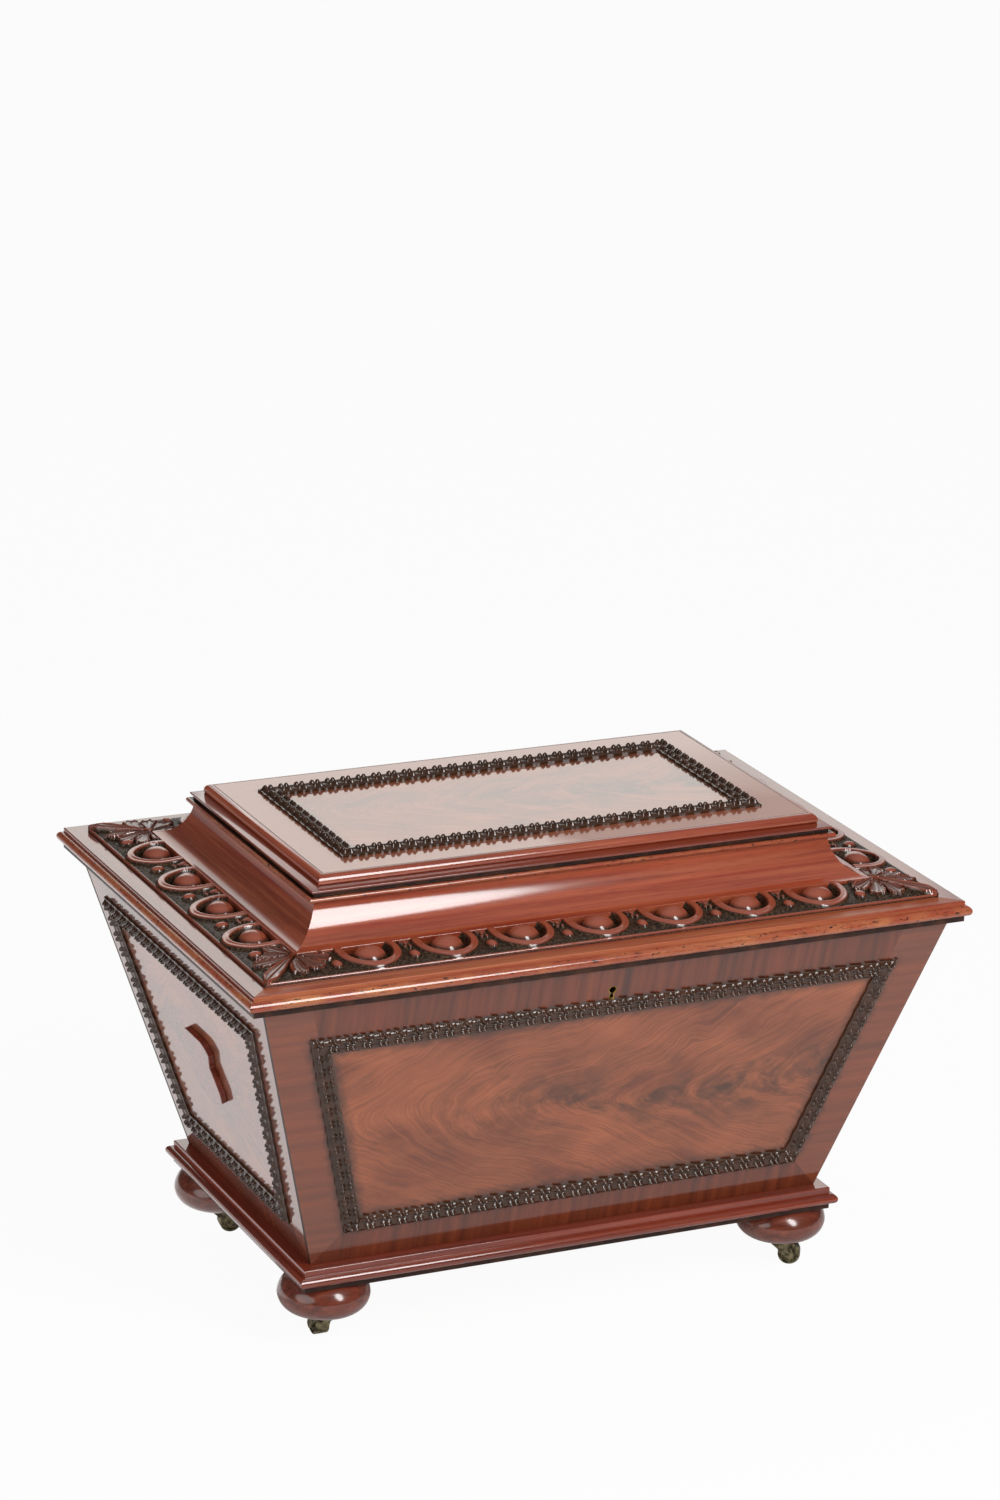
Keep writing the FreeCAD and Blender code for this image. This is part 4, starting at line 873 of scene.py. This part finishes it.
def ripple_frame(name, face, corners, tree):
    """Frame of ripple moulding: flat closed strips that the ripple tree shapes."""
    sizes = settings("ripple")
    inner = face.shifted(corners, sizes.width)
    # the outermost rows stay on the board and close the strip
    share = np.concatenate([[0.0], np.linspace(0, 1, 27), [1.0]])
    rows = len(share)
    points, faces = [], []
    data = {name: [] for name in ("along", "across", "top", "inward", "normal")}
    for (a, b), (near, far) in zip(around(corners), around(inner)):
        long = np.linalg.norm(b - a)
        way = (b - a) / long
        columns = int(long / sizes.step)
        faces += strip_faces(len(points), columns, rows)
        c, t = np.linspace(0, 1, columns + 1)[:, None, None], share[None, :, None]
        flat = ((a + (b - a) * c) * (1 - t) + (near + (far - near) * c) * t).reshape(-1, 2)
        points += list(face.world(np.c_[flat, np.zeros(len(flat))]))
        whole = max(1, round(long / sizes.pitch))
        data["along"] += list(((flat - a) @ way) * whole * sizes.pitch / long)
        data["across"] += list(np.tile(share * 2 - 1, columns + 1))
        data["top"] += ([0.0] + [1.0] * (rows - 2) + [0.0]) * (columns + 1)
        inward = np.array([-way[1], way[0], 0]) @ face.turn
        data["inward"] += [inward] * len(flat)
        data["normal"] += [face.turn[2]] * len(flat)
    piece = mesh_piece(name, points, faces, ["ripple"])
    for key, values in data.items():
        mark(piece.data, key, values)
    modifier = piece.modifiers.new("ripple", "NODES")
    modifier.node_group = tree
    for item in tree.interface.items_tree:
        if item.name == "Finish":
            modifier[item.identifier] = finish("ripple")
    mesh = applied(piece)
    welded(mesh, 2 * WELD, outwards=True)
    smoothed(mesh, 70)
    for key in data:
        mesh.attributes.remove(mesh.attributes[key])
    return piece


# ---- carved border

# shells on a long side and on a short one
SHELLS = 7, 4
# distances from the outer edge of the border, then heights, in mm
SHELL_CENTRE, EGG_CENTRE, DROP_CENTRE = 37.5, 31.0, 16.5
SCOOP, EGG_TALL, CAP = 5.2, 12.9, 14.3
# each lobe of a leaf has a direction, half its spread in degrees, and its reach in mm
LOBES = ((253, 15, 47), (285, 17, 42), (320, 18, 37), (353, 15, 27))


def smooth(x, low, high):
    """Soft step from 0 at low to 1 at high."""
    t = np.clip((x - low) / (high - low), 0, 1)
    return t * t * (3 - 2 * t)


def dome(x, y, half_x, half_y):
    """Half of an ellipsoid, 1 at its top."""
    return np.sqrt(np.clip(1 - (x / half_x) ** 2 - (y / half_y) ** 2, 0, 1))


def acanthus(p, t, root):
    """Leaf that fans out from its root: a fluted blade to the corner and broad fluted lobes.

    p and t are the distances from the two outer edges of the border's corner, in mm.
    """
    dx, dy = p - root, t - root
    far = np.hypot(dx, dy) + 1e-6
    aim = np.degrees(np.arctan2(dy, dx)) % 360
    height = np.zeros_like(p)
    for middle, half, reach in LOBES:
        u = (aim - 0.35 * (far - reach * 0.6) - middle) / half
        tip = reach * (1 - 0.24 * u ** 2) * (1 - 0.09 * np.abs(np.sin(1.5 * math.pi * u)))
        inside = smooth(tip - far, 0.0, 1.4) * smooth(1 - np.abs(u), 0.0, 0.14)
        vein = 0.9 * np.exp(-(u / 0.14) ** 2)
        rim = 1.3 * np.exp(-((tip - far - 1.7) / 1.5) ** 2)
        height = np.maximum(height, inside * (1.8 + 2.7 * u ** 2 + vein + rim))
    along, off = (p + t) / math.sqrt(2), np.abs(p - t) / math.sqrt(2)
    half_blade = 1.5 + 6.0 * smooth(root * math.sqrt(2) - along, 2, 50)
    half_blade = np.minimum(half_blade, 0.6 * along + 0.4)
    q = off / half_blade
    blade = (2.6 + 2.2 * q ** 2 + 1.0 * np.exp(-(q / 0.15) ** 2)) * smooth(1.06 - q, 0, 0.14)
    gutter = smooth(off - half_blade, 0.2, 2.2)
    height = np.where(off < half_blade + 2.2, np.maximum(height * gutter, blade), height)
    return np.where(far > 2, height, np.maximum(height, 3.5))


def carved_height(s, t, half, pitch, count, depth):
    """Height of the carved border and its polish, which also paints highlight on the high parts
    and shade in the ground; s runs along, t inwards, in mm.
    """
    relief, band = in_mm("carving", "relief", "band")
    shell, egg_s, egg_t = (wide / 2 for wide in in_mm("carving", "shell_wide", "egg_wide",
                                                      "egg_deep"))
    # the ground rises from the edge in a quarter round and then gently
    ground = 1.6 + 3.6 * np.sqrt(1 - np.clip((14 - t) / 14, 0, 1) ** 2) + 2.2 * smooth(t, 10, 46)
    nearest = np.clip(np.round(s / pitch + (count - 1) / 2), 0, count - 1)
    ds = s - (nearest - (count - 1) / 2) * pitch
    # a shell lies between two ellipses, and its band is dished between them
    across = t - SHELL_CENTRE
    outer = np.hypot(ds / shell, across / (SHELL_CENTRE - 0.2))
    inner = np.hypot(ds / (shell - band), across / (SHELL_CENTRE - band - 0.4))
    edge_out, edge_in = (1 - outer) * shell, (inner - 1) * (shell - band)
    level = smooth(edge_out, 0, 2.6) * smooth(edge_in, 0, 1.0)
    level = level * (0.84 + 0.16 * smooth(edge_out, 0, band))
    dished = 1 - 0.16 * np.exp(-((edge_out - edge_in) / (edge_out + edge_in + 1e-6)) ** 2 / 0.18)
    ring = np.where((outer < 1) & (inner > 1), level * dished * relief, 0)
    egg = dome(ds, t - EGG_CENTRE, egg_s, egg_t)
    # drops hang between the shells, and buds between them on the inner side
    between = np.clip(np.round(s / pitch + count / 2) - count / 2, -count / 2, count / 2) * pitch
    dm = s - between
    ornament = np.maximum(ring, 4.8 * dome(dm, t - DROP_CENTRE, 5.6, 7.2))
    inner_gap = np.abs(between) < (count / 2 - 0.25) * pitch
    bud = np.maximum(3.6 * dome(dm, t - (depth - 6), 2.6, 7.0),
                     3.0 * dome(np.abs(dm) - 3.6, t - (depth - 5) - 0.4 * np.abs(dm), 2.2, 4.6))
    bud = np.maximum(bud, 3.2 * dome(np.abs(dm) - 2.6, t - (depth - 14.5), 2.0, 2.4))
    ornament = np.maximum(ornament, np.where(inner_gap, bud, 0))
    leaf = acanthus(half - np.abs(s), t, depth)
    free = (outer >= 1) & (np.hypot(dm / 7, (t - DROP_CENTRE) / 9) > 1)
    leafy = free & (leaf > ornament)
    ornament = np.where(leafy, leaf, ornament)
    # a lip runs along the outer edge, and punch marks roughen the bare ground
    lip = 0.7 * (1 - smooth(t, 0.9, 1.9)) * (1 - smooth(ornament, 0.1, 0.9))
    punch = np.random.default_rng(11).uniform(-0.45, 0.15, s.shape) * smooth(t, 1.5, 3.0)
    bare = 1 - smooth(ornament, 0.1, 0.8)
    height = ground + ornament + lip + punch * bare
    scooped = ground - SCOOP * smooth(1 - inner, 0.0, 0.12) + EGG_TALL * egg
    height = np.where(inner < 1, scooped, height)
    # polish paints highlight on the high parts, rims and lip, as rubbed wood, and shade in the
    # ground and on the eggs' lower flanks, as wax
    polish = np.where(leafy, 0.5 * smooth(ornament, 0.6, 2.0)
                      + 0.5 * smooth(ornament, 2.8, 4.8), smooth(ornament, 1.0, 3.4))
    polish = np.where(inner < 1, smooth(egg, 0.2, 0.8), np.maximum(polish, lip * 1.2))
    return np.minimum(height, CAP), polish


def carved_border(side):
    """One mitred length of the carved border."""
    sizes = settings("carving")
    node = "carving_" + side
    low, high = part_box(node)
    if side in LONG_SIDES:
        i, j, count, pitch = 0, 1, SHELLS[0], sizes.egg_pitch
    else:
        i, j, count, pitch = 1, 0, SHELLS[1], sizes.egg_pitch_end
    half, deep, out = high[i], high[j] - low[j], max(abs(low[j]), abs(high[j]))
    rows = np.linspace(0, deep, int(deep / sizes.step) + 1)
    columns = int(2 * half / sizes.step)
    s = np.linspace(-1, 1, columns + 1)[:, None] * (half - rows[None, :])
    t = np.broadcast_to(rows[None, :], s.shape)
    height, polish = carved_height(s / MM, t / MM, half / MM, pitch / MM, count, deep / MM)
    top = np.stack([s, out - t, low.z + height * MM], -1)
    foot = top.copy()
    foot[..., 2] = low.z
    points = np.concatenate([foot[:, :1], top, foot[:, -1:]], 1)
    count = points.shape[1]
    faces = strip_faces(0, columns, count)
    last = columns * count
    faces += [tuple(range(count)), tuple(reversed(range(last, last + count)))]
    piece = mesh_piece(node + "_carved", turned(points.reshape(-1, 3), side), faces, ["carved"],
                       angle=60)
    mark(piece.data, "polish", np.pad(polish, ((0, 0), (1, 1))).ravel())
    settle(piece, "lid", "carved", node)


# ---- other pieces

def softened(node, width, body, slot, material):
    """CAD piece with its sharp edges eased."""
    mesh = freed(copied(node), node + "_eased")
    smoothed(mesh, 35)
    piece = as_piece(mesh, material)
    bevel = piece.modifiers.new("eased", "BEVEL")
    bevel.width, bevel.segments, bevel.limit_method = width, 3, "ANGLE"
    bevel.angle_limit = math.radians(35)
    bevel.harden_normals = True
    settle(piece, body, slot, node)


def paint_nodes(starts, material):
    """Gives the CAD pieces whose names start so their finish."""
    for node in sorted(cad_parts):
        if node.startswith(starts):
            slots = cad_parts[node].data.materials
            for i in range(len(slots)):
                slots[i] = finish(material)


def section(node):
    """Height and depth of the front one of four mitred pieces, in mm."""
    low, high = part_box(node)
    return (high.z - low.z) / MM, (high.y - low.y) / MM


def beaded(node, fillet, bead, crease, step, paint, back):
    """Section of a rail with a bead over a fillet painted near-black as shade, as corners for a
    moulding.

    fillet and bead name their sizes, paint is the bead's finish and back that of the hidden
    faces; crease and step are in mm.
    """
    tall, deep = section(node)
    fillet, bead, soft = in_mm("edges", fillet, bead, "arris")
    nose = bead / 2
    ledge = nose + step
    # finish 1 on the fillet is near-black painted shade under the bead
    return [(-deep, 0, 0, back), (-ledge, 0, 0.5, 1), (-ledge, fillet, crease, 1),
            (0, fillet, nose, paint), (0, fillet + bead, nose, paint),
            (-ledge, fillet + bead, 0.3, 0), (-ledge, tall, soft, 0), (-deep, tall, 0, back)]


def mitred(prefix, ending, body, slot, corners, materials, front=None, steps=5):
    """Four mitred lengths of one moulding; the front one can have a finish of its own."""
    half, level = half_sizes(*(prefix + side for side in SIDES))
    for side in SIDES:
        first = front if front and side == "front" else materials[0]
        piece = moulding(prefix + side + ending, side, half, level, corners,
                         [first, *materials[1:]], steps)
        settle(piece, body, slot, prefix + side)


# ---- operators

class CELLARETTE_OT_case(bpy.types.Operator):
    """Veneers the four boards of the case and finishes the base board"""
    bl_idname = "cellarette.case"
    bl_label = "Case Boards"

    def execute(self, context):
        for i, side in enumerate(SIDES):
            veneered(side_face(side), side + "_ripple_frame", "case", i * SHEET,
                     side not in LONG_SIDES)
        paint_nodes("base_board", "pine")
        return {"FINISHED"}


class CELLARETTE_OT_plinth(bpy.types.Operator):
    """Makes the beaded plinth mouldings"""
    bl_idname = "cellarette.plinth"
    bl_label = "Plinth"

    def execute(self, context):
        corners = beaded("plinth_front", "plinth_fillet", "plinth_bead", 0.4, 1.5, 0, 0)
        # the second finish is painted shade on the fillet
        mitred("plinth_", "_moulded", "case", "moulded", corners, ["moulding", "dark"])
        return {"FINISHED"}


class CELLARETTE_OT_ripple(bpy.types.Operator):
    """Makes the frames of ripple moulding"""
    bl_idname = "cellarette.ripple"
    bl_label = "Ripple Frames"

    def execute(self, context):
        tree = ripple_tree()
        places = [(side, side_face(side), "case") for side in SIDES]
        for side, face, body in (*places, ("top", top_face(), "lid")):
            node = side + "_ripple_frame"
            piece = ripple_frame(node + "_carved", face, face.frame_corners(node), tree)
            settle(piece, body, "ripple", node)
        return {"FINISHED"}


class CELLARETTE_OT_shields(bpy.types.Operator):
    """Eases and polishes the shaped blocks on the ends"""
    bl_idname = "cellarette.shields"
    bl_label = "Shields"

    def execute(self, context):
        for side in ("left", "right"):
            softened(side + "_shield", 1.0 * MM, "case", "shield", "shield")
        return {"FINISHED"}


class CELLARETTE_OT_feet(bpy.types.Operator):
    """Polishes the bun feet and ages the castors"""
    bl_idname = "cellarette.feet"
    bl_label = "Feet and Castors"

    def execute(self, context):
        paint_nodes("castor_", "castor")
        paint_nodes("foot_", "turned")
        return {"FINISHED"}


class CELLARETTE_OT_lid_edge(bpy.types.Operator):
    """Makes the beaded rails of the lid"""
    bl_idname = "cellarette.lid_edge"
    bl_label = "Lid Rails"

    def execute(self, context):
        corners = beaded("lid_rail_front", "fillet", "bead", 0.3, 0.6, 2, 3)
        # the second finish is painted shade on the fillet
        mitred("lid_rail_", "_moulded", "lid", "moulded", corners,
               ["moulding", "dark", "bead", "board"], front="handled")
        return {"FINISHED"}


class CELLARETTE_OT_carving(bpy.types.Operator):
    """Carves the egg border with its acanthus corners"""
    bl_idname = "cellarette.carving"
    bl_label = "Carved Border"

    def execute(self, context):
        for side in SIDES:
            carved_border(side)
        return {"FINISHED"}


class CELLARETTE_OT_coves(bpy.types.Operator):
    """Makes the hollow boards of the lid"""
    bl_idname = "cellarette.coves"
    bl_label = "Coves"

    def execute(self, context):
        tall, deep = section("cove_front")
        cap, foot, lean = in_mm("edges", "cove_cap", "cove_foot", "cove_lean")
        run = deep - cap
        hollow = (run - lean - 0.9, tall - foot - 0.5)
        corners = [(-deep, 0, 0, 1), (0, 0, 0, 0), (0, foot, 0.8, 0),
                   (lean - run, foot, hollow, 0), (-run, tall, 0, 0), (-deep, tall, 0, 1)]
        mitred("cove_", "_hollowed", "lid", "cove", corners, ["cove", "board"], steps=20)
        return {"FINISHED"}


class CELLARETTE_OT_tablet(bpy.types.Operator):
    """Makes the tablet, the upper board and the veneered top panel"""
    bl_idname = "cellarette.tablet"
    bl_label = "Tablet and Top"

    def execute(self, context):
        bead, hollow, inset, step, fall, torus, recess = in_mm(
            "edges", "tablet_bead", "tablet_hollow", "hollow_in", "bead_out", "ledge_fall",
            "torus", "recess")
        half, level = half_sizes("tablet")
        tall, nose = (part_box("tablet")[1].z - level) / MM, bead / 2
        ledge = (half[0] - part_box("upper_board")[1].x) / MM
        # finish 1, near-black, is painted shade in the hollow under the tablet edge
        corners = [(-nose, 0, 0, 3), (0, 0, nose, 2), (0, bead, nose, 2),
                   (-step - inset, bead, 0.3, 1), (-step - inset, bead + hollow, 0.3, 1),
                   (-step, bead + hollow, 0.5, 0), (-step, tall - fall, 0.7, 0),
                   (-ledge, tall, 0, 0), (-ledge - 2, tall, 0, 0)]
        settle(edged_board("tablet_moulded", half, level, corners,
                           ["moulding", "dark", "bead", "board"]), "lid", "moulded", "tablet")
        half, level = half_sizes("upper_board")
        tall = (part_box("upper_board")[1].z - level) / MM
        seat = (half[0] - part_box("top_panel")[1].x) / MM - 0.1
        # finish 2, near-black, is painted shade on the strip between the round edge and the top
        # panel, where a gap falls
        corners = [(-tall / 2, 0, 0, 1), (0, 0, 1.5, 0), (0, tall, torus, 0),
                   (-seat, tall, 0, 2), (-seat, tall - recess, 0, 1),
                   (-seat - 2, tall - recess, 0, 1)]
        settle(edged_board("upper_board_moulded", half, level, corners,
                           ["cove", "board", "dark"], 10), "lid", "moulded", "upper_board")
        veneered(top_face(), "top_ripple_frame", "lid", len(SIDES) * SHEET, False)
        return {"FINISHED"}


class CELLARETTE_OT_inside(bpy.types.Operator):
    """Finishes the lining and the bottle divisions"""
    bl_idname = "cellarette.inside"
    bl_label = "Lining and Divisions"

    def execute(self, context):
        paint_nodes("zinc_lining", "zinc")
        paint_nodes(("long_divisions", "cross_divisions"), "slat")
        return {"FINISHED"}


class CELLARETTE_OT_hardware(bpy.types.Operator):
    """Finishes the hinges, the lock and the lining of the keyhole"""
    bl_idname = "cellarette.hardware"
    bl_label = "Hinges and Lock"

    def execute(self, context):
        paint_nodes(("hinge_", "keyhole_lining", "link_plate"), "brass")
        paint_nodes("lock_", "steel")
        return {"FINISHED"}


# ---- stage

def camera_matrix(place, aim, roll):
    """World matrix of a camera at place that looks along aim, rolled by so many degrees."""
    aim = Vector(aim).normalized()
    right = aim.cross(Vector((0, 0, 1))).normalized()
    up = right.cross(aim)
    c, s = math.cos(math.radians(roll)), math.sin(math.radians(roll))
    right, up = right * c + up * s, up * c - right * s
    turn = Matrix((right, up, -aim)).transposed().to_4x4()
    return Matrix.Translation(place) @ turn


def soft_light(name, place, target, size, power, shape="ELLIPSE", tint="#ffffff", **seen):
    """Large soft lamp that shines on a target and isn't seen by the camera."""
    lamp = bpy.data.lights.new(name, "AREA")
    lamp.shape, lamp.size, lamp.size_y, lamp.energy = shape, size[0], size[1], power
    lamp.color = linear(tint)
    thing = placed(name, lamp)
    thing.visible_camera = False
    for key, value in seen.items():
        setattr(thing, key, value)
    way = Vector(target) - Vector(place)
    turn = way.to_track_quat("-Z", "Y").to_matrix().to_4x4()
    thing.matrix_world = Matrix.Translation(place) @ turn


def background_share(tree, camera, mirrored):
    """How much of a ray sees the white background itself."""
    rays = add(tree, "ShaderNodeLightPath").outputs
    shine = add(tree, "MAXIMUM", rays["Is Glossy Ray"], rays["Is Transmission Ray"])
    shine = add(tree, "MULTIPLY", shine, mirrored)
    seen = add(tree, "MULTIPLY", rays["Is Camera Ray"], camera)
    return add(tree, "MAXIMUM", seen, shine)


# half width of the floor, in metres
REACH = 14
# place, aim and roll of the camera, and the way it looks once the lid has mirrored its view
CAMERA = (-1.884394, -3.987961, 1.942593), (0.4045815, 0.8616373, -0.3064229), 1.58
MIRRORED = 0.405, 0.862, 0.306


def pale_floor():
    """White paper under the object, which keeps its soft shadow."""
    floor = bpy.data.meshes.new("floor")
    corners = [(x * REACH, y * REACH, 0) for x, y in QUADRANTS]
    floor.from_pydata(corners, [], [(0, 1, 2, 3)])
    paper, tree, surface = blank("white_backdrop_paper")
    set_inputs(surface, Roughness=0.9, Base_Color=(0.87, 0.87, 0.87, 1), Specular_IOR_Level=0.0)
    light = add(tree, "ShaderNodeEmission", Strength=1.0)
    mixed = add(tree, "ShaderNodeMixShader", background_share(tree, 0.95, 0.14), surface, light)
    feed(tree, mixed, tree.nodes["Material Output"].inputs["Surface"])
    floor.materials.append(paper)
    thing = placed("floor", floor)


def pale_room(daylight):
    """White screen low behind the object in a dim room, seen in the polish."""
    world = bpy.data.worlds.new("pale room")
    world.use_nodes = True
    tree = world.node_tree
    background = tree.nodes["Background"]
    background.inputs["Color"].default_value = (1, 1, 1, 1)
    way = add(tree, "ShaderNodeTexCoord").outputs["Generated"]
    height = add(tree, "ShaderNodeSeparateXYZ", way).outputs["Z"]
    towards = add(tree, "ShaderNodeVectorMath", way, MIRRORED, operation="DOT_PRODUCT")
    towards = towards.outputs["Value"]
    screen = add(tree, RANGE, towards, 0.87, 0.97, 0.05, 1.0)
    ceiling = add(tree, RANGE, height, 0.55, 0.95, 0.05, 0.40)
    walls = add(tree, "MAXIMUM", screen, ceiling)
    plain = add(tree, "ShaderNodeMix", background_share(tree, 0.0, 1.0), daylight, walls)
    plain = add(tree, "ShaderNodeMix", background_share(tree, 1.0, 0.0), plain, 1.0)
    feed(tree, plain, background.inputs["Strength"])
    bpy.context.scene.world = world


class CELLARETTE_OT_stage(bpy.types.Operator):
    """Sets up the floor, the lights and the camera"""
    bl_idname = "cellarette.stage"
    bl_label = "Stage"

    def execute(self, context):
        stage = settings("stage")
        pale_floor()
        pale_room(stage.daylight)
        soft_light("key softbox", (0.60, -2.15, 1.75), (0, -0.1, 0.3), (0.75, 1.9),
                   stage.key_light)
        soft_light("side softbox", (-2.6, -0.9, 1.1), (-0.2, 0, 0.3), (2.4, 2.0), stage.fill_light)
        soft_light("screen behind", (0.77, 2.67, 1.59), (0, 0, 0.47), (2.4, 1.3), stage.glow,
                   tint="#fff9ee", visible_diffuse=False)
        soft_light("paper glow", (-1.25, 0.95, 0.004), (-1.25, 0.95, 1), (2.0, 1.9),
                   stage.paper_glow, "RECTANGLE", visible_diffuse=False)
        camera = bpy.data.cameras.new("camera")
        camera.sensor_fit, camera.sensor_width = "HORIZONTAL", 36.0
        camera.lens, camera.clip_end = stage.lens, 60
        context.scene.camera = placed("camera", camera)
        context.scene.camera.matrix_world = camera_matrix(*CAMERA)
        context.scene.view_settings.view_transform = "Standard"
        return {"FINISHED"}


OPERATORS = [CELLARETTE_OT_stage, CELLARETTE_OT_case, CELLARETTE_OT_plinth,
             CELLARETTE_OT_ripple, CELLARETTE_OT_shields, CELLARETTE_OT_feet,
             CELLARETTE_OT_lid_edge, CELLARETTE_OT_carving, CELLARETTE_OT_coves,
             CELLARETTE_OT_tablet, CELLARETTE_OT_inside, CELLARETTE_OT_hardware]
GROUPS = {"wood": CellaretteWood, "carving": CellaretteCarving, "ripple": CellaretteRipple,
          "edges": CellaretteEdges, "stage": CellaretteStage}


class CELLARETTE_PT_panel(bpy.types.Panel):
    """Lists the steps that finish the cellarette"""
    bl_label = "Cellarette"
    bl_idname = "CELLARETTE_PT_panel"
    bl_space_type = "VIEW_3D"
    bl_region_type = "UI"
    bl_category = "Cellarette"

    def draw(self, context):
        for operator in OPERATORS:
            self.layout.operator(operator.bl_idname)
        for name in GROUPS:
            group, column = settings(name), self.layout.column()
            for key in group.bl_rna.properties.keys():
                if key not in ("rna_type", "name"):
                    column.prop(group, key)


def register():
    """Makes the classes and the groups of settings known to Blender."""
    for item in [*GROUPS.values(), *OPERATORS, CELLARETTE_PT_panel]:
        bpy.utils.register_class(item)
    for name, group in GROUPS.items():
        setattr(bpy.types.Scene, "cellarette_" + name, bpy.props.PointerProperty(type=group))


def unregister():
    """Takes them away again."""
    for name in GROUPS:
        delattr(bpy.types.Scene, "cellarette_" + name)
    for item in [CELLARETTE_PT_panel, *reversed(OPERATORS), *reversed(GROUPS.values())]:
        bpy.utils.unregister_class(item)


def main():
    """Registers the add-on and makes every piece."""
    register()
    for operator in OPERATORS:
        getattr(bpy.ops.cellarette, operator.bl_idname.split(".")[1])()


if __name__ == "__main__":
    main()
